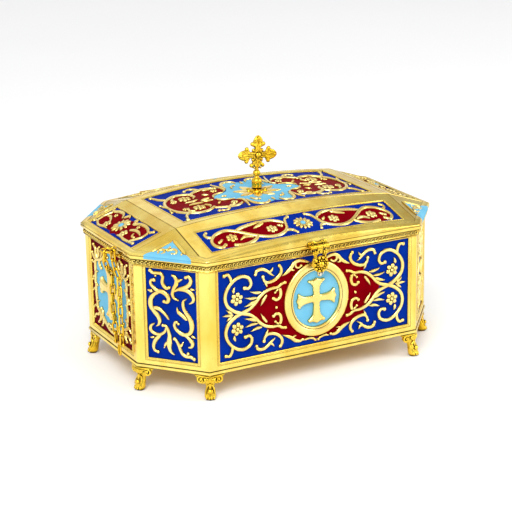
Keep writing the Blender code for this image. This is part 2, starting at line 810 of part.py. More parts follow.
def finial():
    apex = crown(0.0, 0.0) - LID_RECESS
    base = apex + LID_RECESS + SEAT_HEIGHT + GAP
    foot = base + SOCKET_HEIGHT
    knop = foot + 1.5 * KNOP_RADIUS
    stem = turned([
        (SOCKET_RADIUS * 0.9, base), (SOCKET_RADIUS, base + STEP), (SOCKET_RADIUS, foot),
        (SOCKET_RADIUS * 0.45, knop - 0.95 * KNOP_RADIUS),
        (KNOP_RADIUS * 0.75, knop - 0.6 * KNOP_RADIUS), (KNOP_RADIUS, knop),
        (KNOP_RADIUS * 0.75, knop + 0.6 * KNOP_RADIUS), (KNOP_RADIUS * 0.5, knop + KNOP_RADIUS),
    ], 12)
    centre = crown(0.0, 0.0) + CROSS_CENTRE
    half = 0.5 * CROSS_THICK
    down = centre - knop - 0.6 * KNOP_RADIUS
    arms = (((1, 0), CROSS_ARM), ((0, 1), CROSS_UP), ((-1, 0), CROSS_ARM), ((0, -1), down))
    outline = []
    for (cx, cz), reach in arms:
        bud = ((0.42, 0.15), (0.55, 0.31), (0.8, 0.17), (1.0, 0.0))
        if cz < 0:
            bud = ((0.48, 0.17), (0.66, 0.42), (0.8, 0.2), (1.0, 0.18))
        shape = [(0.26 * CROSS_ARM, -0.26 * CROSS_ARM)]
        shape += [(share * reach, -across * CROSS_ARM) for share, across in bud]
        shape += [(share * reach, across * CROSS_ARM) for share, across in reversed(bud) if across or cz < 0]
        for along, across in shape:
            outline.append((cx * along - cz * across, centre + cz * along + cx * across))
    cross = prism(outline, -half, half)
    boss_rise = half + BOSS_PROUD
    face = Matrix.Translation((0.0, 0.0, centre)) @ Matrix.Rotation(math.radians(90.0), 4, "X")
    boss = moved(turned([(0.2 * CROSS_ARM, -boss_rise), (0.2 * CROSS_ARM, boss_rise)], 8), face)
    cross = combine(cross, boss, "UNION")
    pivot = Vector((0.0, 0.0, knop))
    lean = Matrix.Rotation(math.radians(CROSS_LEAN), 4, "Y")
    cross = moved(cross, Matrix.Translation(pivot) @ lean @ Matrix.Translation(-pivot))
    return finish("finial_cross", combine(stem, cross, "UNION"), DEEP_GOLD)


# Feet

def foot_mesh():
    """One cast leg in its own frame: +X points outwards, the wall corner is at the origin."""
    height = FOOT_HEIGHT - GAP
    build = Builder()
    rings = []
    for share, lean, across, deep in FOOT_PROFILE:
        middle = FOOT_TOP_IN * (lean * 0.9 - 0.25)
        ring = []
        for k in range(LEG_SIDES):
            a = 2.0 * math.pi * (k + 0.5) / LEG_SIDES
            x, y = middle + deep * math.cos(a), across * math.sin(a)
            ring.append(Vector((x, y, height * share)))
        rings.append(ring)
    for k in range(len(rings) - 1):
        build.bridge(rings[k], rings[k + 1])
    build.face(rings[0])
    build.face(rings[-1])
    return build.done()


def foot_wing(turn, side):
    """A leaf that spreads from the foot under one of the two walls."""
    height = FOOT_HEIGHT - GAP
    reach, drop = FOOT_WING, FOOT_WING_DROP
    outline = (
        (0.0, 0.0), (reach, 0.0), (0.82 * reach, -0.85 * drop), (0.5 * reach, -1.25 * drop),
        (0.28 * reach, -0.9 * drop), (0.0, -1.4 * drop),
    )
    shape = [(u, height + v) for u, v in outline]
    mesh = prism(shape, FOOT_WING_INSET, FOOT_WING_INSET + FOOT_WING_THICK)
    if side < 0:
        mesh.transform(Matrix.Scale(-1.0, 4, (1.0, 0.0, 0.0)))
        mesh.flip_normals()
    return moved(mesh, Matrix.Rotation(turn, 4, "Z"))


def feet():
    corners = octagon(0.0)
    walls = sides()
    out = []
    for k in range(8):
        before, after = walls[k - 1], walls[k]
        outward = (before[3] + after[3]).normalized()
        spin = math.atan2(outward.y, outward.x)
        place = Matrix.Translation((corners[k][0], corners[k][1], 0.0))
        leg = moved(foot_mesh(), place @ Matrix.Rotation(spin, 4, "Z"))
        wings = [
            moved(foot_wing(math.atan2(after[2].y, after[2].x), 1), place),
            moved(foot_wing(math.atan2(before[2].y, before[2].x), -1), place),
        ]
        out.append(finish("foot_%d" % (k + 1), fused([leg] + wings), DEEP_GOLD))
    return out


# Hinges at the back

HINGE_Y = HALF_WIDTH + RIM_OUT + GAP + BARREL + BARREL_OFF
HINGE_Z = TOP_Z + 0.5 * GAP


def knuckle(x0, x1, y, z):
    """A solid stretch of barrel along X; drilled() makes the hole."""
    return rod((x0, y, z), (x1, y, z), BARREL)


def drilled(mesh, x0, x1, y, z):
    hole = rod((x0, y, z), (x1, y, z), PIN_RADIUS + PIN_CLEARANCE)
    return combine(mesh, hole, "DIFFERENCE")


def hinge(side):
    name = "left" if side < 0 else "right"
    middle = HINGE_AT * side
    half = 1.5 * KNUCKLE
    wall_y = HALF_WIDTH + FRIEZE_OUT + GAP
    rim_y = HALF_WIDTH + RIM_OUT + GAP
    lower = [block((middle - half, wall_y, HINGE_Z - LEAF_DROP),
                   (middle + half, wall_y + LEAF, HINGE_Z - LEAF_OFF))]
    for sx in (-1, 1):
        x0, x1 = sorted((middle + sx * half, middle + sx * (0.5 * KNUCKLE + GAP)))
        lower.append(block((x0, wall_y + 0.3 * LEAF, HINGE_Z - WEB[1]), (x1, HINGE_Y, HINGE_Z - WEB[0])))
        lower.append(knuckle(x0, x1, HINGE_Y, HINGE_Z))
    span = (middle - half - KNUCKLE, middle + half + KNUCKLE)
    mesh = drilled(fused(lower), span[0], span[1], HINGE_Y, HINGE_Z)
    finish("hinge_leaf_body_" + name, mesh, DEEP_GOLD)
    x0, x1 = middle - 0.5 * KNUCKLE, middle + 0.5 * KNUCKLE
    upper = [
        block((middle - half, rim_y, HINGE_Z + LEAF_OFF),
              (middle + half, rim_y + LEAF, HINGE_Z + 0.8 * LEAF_DROP)),
        block((x0, rim_y + 0.1 * LEAF, HINGE_Z + WEB[0]), (x1, HINGE_Y, HINGE_Z + WEB[1])),
        knuckle(x0, x1, HINGE_Y, HINGE_Z),
    ]
    pin = rod((middle - half, HINGE_Y, HINGE_Z), (middle + half, HINGE_Y, HINGE_Z), PIN_RADIUS)
    finish("hinge_pin_" + name, pin, DEEP_GOLD, True)
    mesh = drilled(fused(upper), span[0], span[1], HINGE_Y, HINGE_Z)
    return finish("hinge_leaf_lid_" + name, mesh, DEEP_GOLD)


# Hasp at the front

HASP_Y = -(HALF_WIDTH + RIM_OUT + GAP + LEAF + GAP + BARREL)
HASP_Z = LID_Z + RIM_EDGE + 0.4 * RIM_BAND
HASP_SPAN = 2.0 * HASP_HALF


def hasp_mount():
    plate_y = -(HALF_WIDTH + RIM_OUT + GAP)
    mount = [block((-HASP_HALF, plate_y - LEAF, HASP_Z - MOUNT_DROP),
                   (HASP_HALF, plate_y, HASP_Z + MOUNT_RISE))]
    for sx in (-1, 1):
        x0, x1 = sorted((sx * HASP_HALF, sx * (0.5 * KNUCKLE + GAP)))
        mount.append(block((x0, HASP_Y, HASP_Z - MOUNT_WEB[0]),
                           (x1, plate_y - 0.5 * LEAF, HASP_Z + MOUNT_WEB[1])))
        mount.append(knuckle(x0, x1, HASP_Y, HASP_Z))
    pin = rod((-HASP_HALF, HASP_Y, HASP_Z), (HASP_HALF, HASP_Y, HASP_Z), PIN_RADIUS)
    return [
        finish("hasp_mount", drilled(fused(mount), -HASP_SPAN, HASP_SPAN, HASP_Y, HASP_Z), DEEP_GOLD),
        finish("hasp_pin", pin, DEEP_GOLD, True),
    ]


def hasp():
    inner = 0.5 * KNUCKLE
    near = HASP_Y - 0.5 * HASP_THICK
    far = near + HASP_THICK
    neck = BARREL + 2.0 * GAP
    outline = [
        (-inner, 0.0), (-inner, -neck), (-STRAP_HALF, -neck - STEP), (-STRAP_HALF, -ROSETTE_DROP),
        (-TONGUE_HALF, -ROSETTE_DROP - 0.6 * ROSETTE_RADIUS), (-TIP_HALF, -HASP_LENGTH + TIP_HALF),
        (0.0, -HASP_LENGTH),
    ]
    outline = outline + [(-x, z) for x, z in outline[-2::-1]]
    strap = prism([(x, HASP_Z + z) for x, z in outline], near, far)
    slot = block((-0.5 * SLOT[0], near - HASP_THICK, HASP_Z - SLOT_DROP - 0.5 * SLOT[1]),
                 (0.5 * SLOT[0], far + HASP_THICK, HASP_Z - SLOT_DROP + 0.5 * SLOT[1]))
    strap = combine(strap, slot, "DIFFERENCE")
    face = Matrix.Translation((0.0, far - ROSETTE_SINK, HASP_Z - ROSETTE_DROP))
    face = face @ Matrix.Rotation(math.radians(90.0), 4, "X")
    rosette = moved(turned([(ROSETTE_RADIUS * share, rise) for share, rise in ROSETTE_PROFILE], 10), face)
    mesh = fused([strap, knuckle(-inner, inner, HASP_Y, HASP_Z), rosette])
    return finish("hasp", drilled(mesh, -HASP_SPAN, HASP_SPAN, HASP_Y, HASP_Z), DEEP_GOLD)


# Ring and chain

def chain_strand(path, radial, groups):
    """Links along a path of points; the first lies along radial and the next stand crosswise."""
    pitch = LINK_LENGTH - 4.0 * LINK_WIRE + LINK_BITE
    lengths = [0.0]
    for a, b in zip(path, path[1:]):
        lengths.append(lengths[-1] + (b - a).length)
    count = int(lengths[-1] / pitch)
    tangent = Vector((-radial.y, radial.x, 0.0))

    def at(distance):
        k = 1
        while k < len(path) - 1 and distance > lengths[k]:
            k += 1
        return path[k - 1].lerp(path[k], (distance - lengths[k - 1]) / (lengths[k] - lengths[k - 1]))

    for k in range(count):
        low, high = at(pitch * k), at(pitch * (k + 1))
        along = (high - low).normalized()
        side = tangent if k % 2 else radial
        across = (side - along * side.dot(along)).normalized()
        groups[k % 2].append(wire_loop((low + high) * 0.5, LINK_LENGTH, LINK_WIDTH, LINK_WIRE, along, across))
    return at(pitch * count)


def chain_eye(eye):
    """A lug on the frieze that carries a small upright eye clear of the lid's rim."""
    wall_x = -(HALF_LENGTH + FRIEZE_OUT + GAP)
    low = TOP_Z - FRIEZE_HEIGHT
    stem = 0.5 * EYE_STEM
    pad = block((wall_x - EYE_STEM, eye.y - EYE_PAD, low), (wall_x, eye.y + EYE_PAD, TOP_Z - 2.0 * STEP))
    arm = block((eye.x - stem, eye.y - stem, low + 0.8 * EYE_STEM),
                (wall_x - STEP, eye.y + stem, low + 1.9 * EYE_STEM))
    post = block((eye.x - stem, eye.y - 1.1 * stem, low + 1.4 * EYE_STEM),
                 (eye.x + stem, eye.y + 1.1 * stem, eye.z - EYE_RADIUS))
    size = 2.0 * (EYE_RADIUS + EYE_WIRE)
    loop = wire_loop(eye, size, size, EYE_WIRE, Vector((0, 0, 1)), Vector((1, 0, 0)), 8, 4)
    finish("chain_eye", fused([pad, arm, post, loop]), DEEP_GOLD)


def chain():
    eye = Vector((-(HALF_LENGTH + EYE_OUT), EYE_Y, LID_Z + EYE_RISE))
    chain_eye(eye)
    centre = eye + Vector((-RING_RADIUS - RING_PLAY, 0.0, 0.0))
    size = 2.0 * (RING_RADIUS + RING_WIRE)
    ring = wire_loop(centre, size, size, RING_WIRE, Vector((0, 1, 0)), Vector((1, 0, 0)), 16, 4)
    finish("chain_ring", ring, DEEP_GOLD, True)

    hang_x = -(HALF_LENGTH + CHAIN_OUT)
    over = RING_WIRE + LINK_WIRE + 0.5 * GAP
    groups = ([], [])
    ends = []
    for angle, shifts in zip(STRAND_ANGLES, STRAND_SHIFTS):
        a = math.radians(angle)
        radial = Vector((math.cos(a), math.sin(a), 0.0))
        hook = centre + radial * RING_RADIUS + Vector((0.0, 0.0, over - LINK_WIRE + 0.5 * LINK_BITE))
        path = [hook, hook - Vector((0.0, 0.0, LINK_LENGTH))]
        for shift, height in zip(shifts, STRAND_HEIGHTS):
            path.append(Vector((hang_x, EYE_Y + shift, BASE_Z + height)))
        ends.append(chain_strand(path, radial, groups))
    mesh = combine(joined(groups[0]), joined(groups[1]), "UNION")
    middle = (ends[0] + ends[1]) * 0.5
    reach = (ends[1] - ends[0]).normalized() * BAR_HALF
    bar = rod(middle - reach, middle + reach, BAR_RADIUS, 8)
    below = middle - Vector((0.0, 0.0, 0.5 * LINK_LENGTH - 0.5 * LINK_WIRE))
    drop = wire_loop(below, LINK_LENGTH, LINK_WIDTH, LINK_WIRE, Vector((0, 0, 1)), Vector((0, 1, 0)))
    mesh = combine(mesh, bar, "UNION")
    mesh = combine(mesh, drop, "UNION")
    finish("chain", mesh, DEEP_GOLD)


def set_origin(node, place):
    node.data.transform(Matrix.Translation(-place))
    node.location = place


def assemble():
    """Make every piece, give the moving ones their axes, and centre the outline on the origin."""
    casket_body()
    feet()
    chain()
    moving = [lid(), finial()]
    for side in (-1, 1):
        moving.append(hinge(side))
    moving += hasp_mount()
    flap = hasp()
    lid_axis = Vector((0.0, HINGE_Y, HINGE_Z))
    for node in moving:
        set_origin(node, lid_axis)
    set_origin(flap, Vector((0.0, HASP_Y, HASP_Z)))
    bpy.context.view_layer.update()
    corners = [node.matrix_world @ Vector(c) for node in bpy.data.objects for c in node.bound_box]
    low = [min(c[k] for c in corners) for k in range(2)]
    high = [max(c[k] for c in corners) for k in range(2)]
    shift = Vector((-0.5 * (low[0] + high[0]), -0.5 * (low[1] + high[1]), 0.0))
    for node in bpy.data.objects:
        node.location += shift
    bpy.context.view_layer.update()
    print("outline centred by", [round(value, 6) for value in shift])
    print("lid axis", [round(value, 6) for value in lid_axis + shift])
    print("hasp axis", [round(value, 6) for value in flap.location])


assemble()
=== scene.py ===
"""Looks of the enamelled reliquary casket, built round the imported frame.

The drawing functions work in millimetres from the middle of the body, with z = 0 at the
lower edge of its walls. Skin.made turns them into metres in the row frame.
"""
import math

import bpy
import numpy as np
from mathutils import Matrix, Vector
from mathutils.geometry import delaunay_2d_cdt


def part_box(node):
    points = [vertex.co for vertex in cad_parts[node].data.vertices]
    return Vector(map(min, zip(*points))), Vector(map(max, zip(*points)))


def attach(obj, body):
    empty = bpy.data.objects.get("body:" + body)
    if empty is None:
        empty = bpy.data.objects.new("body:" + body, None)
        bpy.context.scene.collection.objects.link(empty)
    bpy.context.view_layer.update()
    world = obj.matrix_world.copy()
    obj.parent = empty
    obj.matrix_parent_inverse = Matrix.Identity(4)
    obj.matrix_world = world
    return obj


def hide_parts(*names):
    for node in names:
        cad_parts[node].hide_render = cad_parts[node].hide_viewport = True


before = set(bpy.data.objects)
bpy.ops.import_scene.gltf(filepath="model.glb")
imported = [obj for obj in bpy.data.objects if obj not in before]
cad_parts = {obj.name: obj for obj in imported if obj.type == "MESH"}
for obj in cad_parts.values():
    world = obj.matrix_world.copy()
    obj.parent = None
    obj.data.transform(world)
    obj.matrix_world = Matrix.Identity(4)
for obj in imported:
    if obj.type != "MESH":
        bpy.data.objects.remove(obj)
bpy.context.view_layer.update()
BODY_LOW, BODY_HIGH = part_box("casket_body")
MIDDLE = Vector(((BODY_LOW.x + BODY_HIGH.x) / 2, (BODY_LOW.y + BODY_HIGH.y) / 2, BODY_LOW.z))
MM = 0.001

# Sizes of the frame, in millimetres
HALF_LENGTH, HALF_WIDTH = 130.0, 93.0
CUT_X, CUT_Y = 38.6, 46.2
TOP = 86.0
FLOOR, WALL = 2.5, 3.6
BASE_LIP, BASE_LIP_HEIGHT = 0.8, 2.2
FRIEZE_OUT, FRIEZE_HEIGHT = 1.2, 4.8
PANEL_LOW, PANEL_HIGH = 8.0, 80.0
MARGIN = {"front": 8.9, "back": 8.9, "corner": 9.3, "end": 8.3}
WALL_LOW = 2.8
# The lip round a wall's panel: how far outside the opening, and how high over the wall
WALL_LIP = ((-0.35, -1.6), (-0.3, -0.5), (0.1, -0.05), (0.5, 0.05), (1.35, 0.05), (1.6, -0.1), (1.8, -0.35),
            (2.1, -0.35), (2.3, -0.1), (2.6, 0.0))
OFF_CENTRE = {"front": 2.0, "back": 0.0, "corner": 0.0, "end": 0.0}
RECESS, RELIEF = 1.6, 1.6
LID_Z, CROWN_Z = 86.3, 109.0
RIM_OUT, RIM_EDGE, RIM_BAND, MARGIN_IN = 3.2, 0.8, 2.7, 2.5
SEAM_X, SEAM_Y = 94.0, 46.0
BOW_DROP, END_DROP, SIDE_DROP = 5.5, 12.85, 13.2
LID_WALL, LID_RECESS, LID_RELIEF = 2.8, 0.9, 1.15
GAP = 0.3
X, Y, UP = Vector((1.0, 0.0, 0.0)), Vector((0.0, 1.0, 0.0)), Vector((0.0, 0.0, 1.0))

# How noise in the gilding is stretched: the tones into upright streaks, the bumps a little more
STREAK, HAMMERED = (1.0, 1.0, 0.4), (1.0, 1.0, 0.35)


def srgb(red, green, blue):
    """A colour given as 0 to 255 screen values, as linear light."""
    out = []
    for value in (red, green, blue):
        c = value / 255.0
        out.append(c / 12.92 if c <= 0.04045 else ((c + 0.055) / 1.055) ** 2.4)
    return tuple(out) + (1.0,)


# Materials

def mixed(nodes, links, factor, first, second):
    """A mix of two colours or colour sockets."""
    mix = nodes.new("ShaderNodeMix")
    mix.data_type = "RGBA"
    links.new(factor, mix.inputs["Factor"])
    for socket, value in ((mix.inputs[6], first), (mix.inputs[7], second)):
        if isinstance(value, tuple):
            socket.default_value = value
        else:
            links.new(value, socket)
    return mix.outputs[2]


def noise(nodes, links, coords, scale, detail=3.0, stretch=None):
    """Soft noise of a scale, finer along an axis where stretch is larger."""
    texture = nodes.new("ShaderNodeTexNoise")
    texture.inputs["Scale"].default_value = scale
    texture.inputs["Detail"].default_value = detail
    if stretch:
        mapping = nodes.new("ShaderNodeMapping")
        mapping.inputs["Scale"].default_value = stretch
        links.new(coords, mapping.inputs["Vector"])
        coords = mapping.outputs["Vector"]
    links.new(coords, texture.inputs["Vector"])
    return texture.outputs["Fac"]


def ranged(nodes, links, value, low, high, out_low, out_high):
    """A value's range mapped to another."""
    spread = nodes.new("ShaderNodeMapRange")
    for name, number in (("From Min", low), ("From Max", high), ("To Min", out_low), ("To Max", out_high)):
        spread.inputs[name].default_value = number
    links.new(value, spread.inputs["Value"])
    return spread.outputs["Result"]


def started(name):
    """A new material's parts: itself, its nodes, links, shader and object coordinates."""
    material = bpy.data.materials.new(name)
    material.use_nodes = True
    nodes, links = material.node_tree.nodes, material.node_tree.links
    coords = nodes.new("ShaderNodeTexCoord").outputs["Object"]
    return material, nodes, links, nodes["Principled BSDF"], coords


def bumped(nodes, links, shader, height, strength, distance):
    """Small unevenness of the surface, as deep as a distance in millimetres."""
    bump = nodes.new("ShaderNodeBump")
    bump.inputs["Strength"].default_value = strength
    bump.inputs["Distance"].default_value = distance * MM
    links.new(height, bump.inputs["Height"])
    links.new(bump.outputs["Normal"], shader.inputs["Normal"])


def gold(name, light, mid, shade_colour, roughness, reach, grain, ripple):
    """Gilding: light and mid tones drift across it, and hollows within reach are darkened with painted shade.
    """
    material, nodes, links, shader, coords = started(name)
    streaks = noise(nodes, links, coords, 44.0, 5.0, STREAK)
    tone = mixed(nodes, links, ranged(nodes, links, streaks, 0.38, 0.62, 0.0, 1.0), light, mid)
    # Painted shade: an occlusion node darkens the colour in hollows and creases, towards the shade colour.
    shade = nodes.new("ShaderNodeAmbientOcclusion")
    shade.samples = 8
    shade.inputs["Distance"].default_value = reach * MM
    depth = ranged(nodes, links, shade.outputs["AO"], 0.4, 0.93, 0.0, 1.0)
    links.new(mixed(nodes, links, depth, shade_colour, tone), shader.inputs["Base Color"])
    shader.inputs["Metallic"].default_value = 1.0
    patches = noise(nodes, links, coords, 160.0, 4.0)
    links.new(ranged(nodes, links, patches, 0.3, 0.7, roughness * 0.75, roughness * 1.3),
              shader.inputs["Roughness"])
    bumped(nodes, links, shader, noise(nodes, links, coords, ripple, 3.0, HAMMERED), 0.35, grain)
    return material


def enamel(name, light, dark, roughness):
    """Glossy enamel whose colour and surface vary a little."""
    material, nodes, links, shader, coords = started(name)
    drift = ranged(nodes, links, noise(nodes, links, coords, 60.0), 0.3, 0.7, 0.0, 1.0)
    links.new(mixed(nodes, links, drift, light, dark), shader.inputs["Base Color"])
    patches = noise(nodes, links, coords, 90.0, 2.0)
    links.new(ranged(nodes, links, patches, 0.3, 0.7, roughness * 0.7, roughness * 1.3),
              shader.inputs["Roughness"])
    shader.inputs["Specular IOR Level"].default_value = 0.004
    bumped(nodes, links, shader, noise(nodes, links, coords, 110.0, 2.0), 0.3, 0.1)
    return material


# The third colour of each gilding is the painted shade in its hollows.
BAND = gold("gilded_band", srgb(252, 226, 120), srgb(238, 200, 84), srgb(84, 50, 4), 0.22, 2.0, 0.3, 130.0)
RELIEF_GOLD = gold("gilded_relief", srgb(252, 230, 148), srgb(242, 208, 110), srgb(62, 34, 2), 0.26, 1.8,
                   0.12, 160.0)
CAST = gold("gilded_casting", srgb(250, 214, 74), srgb(224, 174, 28), srgb(58, 32, 0), 0.18, 2.6, 0.1, 300.0)
INSIDE = gold("gilded_inside", srgb(240, 204, 112), srgb(226, 184, 84), srgb(130, 86, 16), 0.4, 4.0, 0.1,
              120.0)
STEEL = gold("worn_tip", srgb(226, 222, 206), srgb(206, 196, 166), srgb(90, 80, 50), 0.3, 1.4, 0.06, 300.0)
BLUE = enamel("enamel_blue", srgb(6, 44, 142), srgb(4, 34, 126), 0.28)
RED = enamel("enamel_red", srgb(124, 0, 10), srgb(106, 0, 6), 0.28)
PLUM = enamel("enamel_plum", srgb(104, 6, 28), srgb(86, 0, 20), 0.28)
SKY = enamel("enamel_sky", srgb(116, 184, 212), srgb(102, 172, 204), 0.3)


# Meshes

class Skin:
    """The faces of one piece, each with its material."""

    def __init__(self):
        self.places, self.faces, self.slots, self.materials = [], [], [], []

    def put(self, places, faces, material, facing=None):
        """Adds faces, turned to point along facing, or outwards if they close a body."""
        if material not in self.materials:
            self.materials.append(material)
        slot = self.materials.index(material)
        p = np.array([tuple(v) for v in places])
        aim = None if facing is None else np.array(tuple(facing))
        total = 0.0
        middle = p.mean(axis=0)
        for face in faces:
            a = p[face[0]]
            for j in range(1, len(face) - 1):
                area = np.cross(p[face[j]] - a, p[face[j + 1]] - a)
                total += area @ (a - middle) if aim is None else area @ aim
        base = len(self.places)
        self.places += [tuple(v) for v in places]
        for face in faces:
            row = [base + k for k in face]
            self.faces.append(row[::-1] if total < 0.0 else row)
            self.slots.append(slot)

    def some(self, places, faces, material, facing=None):
        """Adds faces with only the places that they use."""
        used = sorted({k for face in faces for k in face})
        index = {k: n for n, k in enumerate(used)}
        self.put([places[k] for k in used], [tuple(index[k] for k in face) for face in faces],
                 material, facing)

    def rows(self, rows, material, facing=None, around=True, first=False, last=False, ends=False):
        """Skins rows of points.

        around joins each row's ends, first and last close those rows, and ends joins the last
        row to the first.
        """
        width, faces = len(rows[0]), []
        for k in range(len(rows) if ends else len(rows) - 1):
            n = (k + 1) % len(rows)
            for j in range(width if around else width - 1):
                m = (j + 1) % width
                faces.append((k * width + j, k * width + m, n * width + m, n * width + j))
        if first:
            faces.append(tuple(range(width))[::-1])
        if last:
            faces.append(tuple((len(rows) - 1) * width + j for j in range(width)))
        self.put([p for row in rows for p in row], faces, material, facing)

    def made(self, name, body, *nodes, crease=42.0):
        """The piece as an object that rides on a body in the place of the named nodes."""
        mesh = bpy.data.meshes.new(name)
        mesh.from_pydata([(Vector(p) * MM + MIDDLE) for p in self.places], [], self.faces)
        mesh.polygons.foreach_set("material_index", self.slots)
        for material in self.materials:
            mesh.materials.append(material)
        mesh.validate()
        mesh.shade_smooth()
        mesh.set_sharp_from_angle(angle=math.radians(crease))
        piece = bpy.data.objects.new(name, mesh)
        bpy.context.scene.collection.objects.link(piece)
        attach(piece, body)
        if nodes:
            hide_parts(*nodes)
        return piece


def inside(points, outline):
    """Which of the points lie within an outline."""
    x, y = points[:, 0], points[:, 1]
    odd = np.zeros(len(points), bool)
    for (x0, y0), (x1, y1) in zip(outline, outline[1:] + outline[:1]):
        if y0 == y1:
            continue
        over = (y0 > y) != (y1 > y)
        odd ^= over & (x < (x1 - x0) * (y - y0) / (y1 - y0) + x0)
    return odd


def field(skin, border, regions, base, place, facing, pitch=0.0, holes=(), lines=()):
    """A surface within a border, cut along the outlines of its regions; later ones lie on top."""
    points, edges = [], []
    for outline in [border] + [r[0] for r in regions] + list(holes):
        start, count = len(points), len(outline)
        points += [Vector((p[0], p[1])) for p in outline]
        edges += [(start + k, start + (k + 1) % count) for k in range(count)]
    for line in lines:
        start = len(points)
        points += [Vector((p[0], p[1])) for p in line]
        edges += [(start + k, start + k + 1) for k in range(len(line) - 1)]
    if pitch:
        xs, ys = [p[0] for p in border], [p[1] for p in border]
        grid = [
            (x, y)
            for x in np.arange(min(xs) + pitch * 0.53, max(xs), pitch)
            for y in np.arange(min(ys) + pitch * 0.53, max(ys), pitch)
        ]
        keep = inside(np.array(grid), border)
        points += [Vector(p) for p, k in zip(grid, keep) if k]
    verts, _, faces, _, _, _ = delaunay_2d_cdt(points, edges, [], 0, 1e-5)
    flat = np.array([tuple(v) for v in verts])
    centres = np.array([flat[list(f)].mean(axis=0) for f in faces])
    kept = inside(centres, border)
    for hole in holes:
        kept &= ~inside(centres, hole)
    owner = np.zeros(len(faces), int)
    for k, region in enumerate(regions):
        owner[inside(centres, region[0])] = k + 1
    materials = [base] + [r[1] for r in regions]
    places = [place(x, y, 0.0) for x, y in flat]
    for k, material in enumerate(materials):
        chosen = [tuple(f) for f, o, g in zip(faces, owner, kept) if o == k and g]
        if chosen:
            skin.some(places, chosen, material, facing)


# Curves

def smooth(points, pitch=0.7, closed=False):
    """A rounded line through points of a plane or of space, with stations about a pitch apart."""
    p = [Vector(v) for v in points]
    count, out = len(p), []
    for k in range(count if closed else count - 1):
        a = p[(k - 1) % count] if closed or k > 0 else p[0] * 2 - p[1]
        b, c = p[k], p[(k + 1) % count]
        d = p[(k + 2) % count] if closed or k + 2 < count else c * 2 - b
        steps = max(1, int(round((c - b).length / pitch)))
        for t in (j / steps for j in range(steps)):
            out.append(0.5 * (
                2 * b + (c - a) * t + (2 * a - 5 * b + 4 * c - d) * t * t
                + (3 * b - a - 3 * c + d) * t * t * t
            ))
    return out if closed else out + [p[-1]]


def turns(count, start=0.0):
    """Angles evenly spread over a turn, from a share of one step on."""
    return [2.0 * math.pi * (k + start) / count for k in range(count)]


def ring(centre, reach_a, reach_b, a, b, count):
    """Points on an oval round a centre, whose half axes lie along a and b."""
    return [centre + a * (reach_a * math.cos(t)) + b * (reach_b * math.sin(t)) for t in turns(count)]


def curl(centre, start, end, r0, r1, steps=8):
    """Points on a curl about a centre, from one angle and radius to another, in degrees."""
    out = []
    for t in np.linspace(0.0, 1.0, steps + 1):
        a, r = math.radians(start + (end - start) * t), r0 + (r1 - r0) * t
        out.append((centre[0] + r * math.cos(a), centre[1] + r * math.sin(a)))
    return out


NO_BULBS = (0.0, 0.0)
SECTION = ((-1.08, -0.2), (-1.0, 0.3), (-0.8, 0.8), (-0.5, 0.97), (0.0, 1.0), (0.5, 0.97), (0.8, 0.8),
           (1.0, 0.3), (1.08, -0.2))


def stroke(skin, points, widths, place, facing, height=RELIEF, material=None, bulbs=NO_BULBS,
           pitch=0.85):
    """A raised scroll line of changing width with rounded ends and, where asked, a bulb at an end."""
    line = smooth(points, pitch)
    lengths = [0.0]
    for a, b in zip(line, line[1:]):
        lengths.append(lengths[-1] + math.hypot(b[0] - a[0], b[1] - a[1]))
    total = lengths[-1]
    spots = np.linspace(0.0, total, len(widths))
    rows = []
    for k, (u, v) in enumerate(line):
        a, b = line[max(0, k - 1)], line[min(len(line) - 1, k + 1)]
        run = math.hypot(b[0] - a[0], b[1] - a[1]) or 1.0
        nx, ny = -(b[1] - a[1]) / run, (b[0] - a[0]) / run
        width = float(np.interp(lengths[k], spots, widths))
        for s in (lengths[k], total - lengths[k]):
            reach = 0.5 * width
            if s < reach:
                width *= math.sqrt(max(0.03, 1.0 - (1.0 - s / reach) ** 2))
        rise = height * min(1.0, 0.35 + 0.5 * width)
        rows.append([place(u + nx * t * width / 2, v + ny * t * width / 2, h * rise) for t, h in SECTION])
    skin.rows(rows, material or RELIEF_GOLD, facing, around=False)
    for radius, spot in zip(bulbs, (line[0], line[-1])):
        if radius:
            dome(skin, spot, radius, radius, 0.0, height * 1.15, place, facing, material)


def strokes(skin, readings, placed, place, facing, height=RELIEF):
    """Strokes read as points, widths and, where an end has one, bulbs; placed maps the points."""
    for points, widths, *bulbs in readings:
        stroke(skin, placed(points), widths, place, facing, height, bulbs=bulbs[0] if bulbs else NO_BULBS)


def dome(skin, centre, ru, rv, angle, height, place, facing, material=None, count=12):
    """A low rounded boss, round or oval."""
    c, s = math.cos(angle), math.sin(angle)
    rows = []
    for share, level in ((1.0, -0.2), (0.97, 0.3), (0.8, 0.72), (0.5, 0.94), (0.18, 1.0)):
        spots = [(ru * share * math.cos(a), rv * share * math.sin(a)) for a in turns(count)]
        rows.append([place(centre[0] + c * u - s * v, centre[1] + s * u + c * v, height * level)
                     for u, v in spots])
    skin.rows(rows, material or RELIEF_GOLD, facing, last=True)


def leaf(skin, start, end, width, place, facing, sag=0.0, height=RELIEF):
    """A pointed leaf between two places."""
    dx, dy = end[0] - start[0], end[1] - start[1]
    mid = (start[0] + dx / 2 - dy * sag, start[1] + dy / 2 + dx * sag)
    stroke(skin, [start, mid, end], (0.5, width, width * 0.7, 0.3), place, facing, height)


def flower(skin, centre, radius, petals, place, facing, height=RELIEF, turn=0.3, eye=None):
    """Petals round a centre."""
    broad = min(0.42, 2.1 / petals) * radius
    for a in (turn + t for t in turns(petals)):
        spot = (centre[0] + 0.62 * radius * math.cos(a), centre[1] + 0.62 * radius * math.sin(a))
        dome(skin, spot, 0.4 * radius, broad, a, height, place, facing, count=10)
    dome(skin, centre, 0.3 * radius, 0.3 * radius, 0.0, height * 1.2, place, facing, eye, count=10)


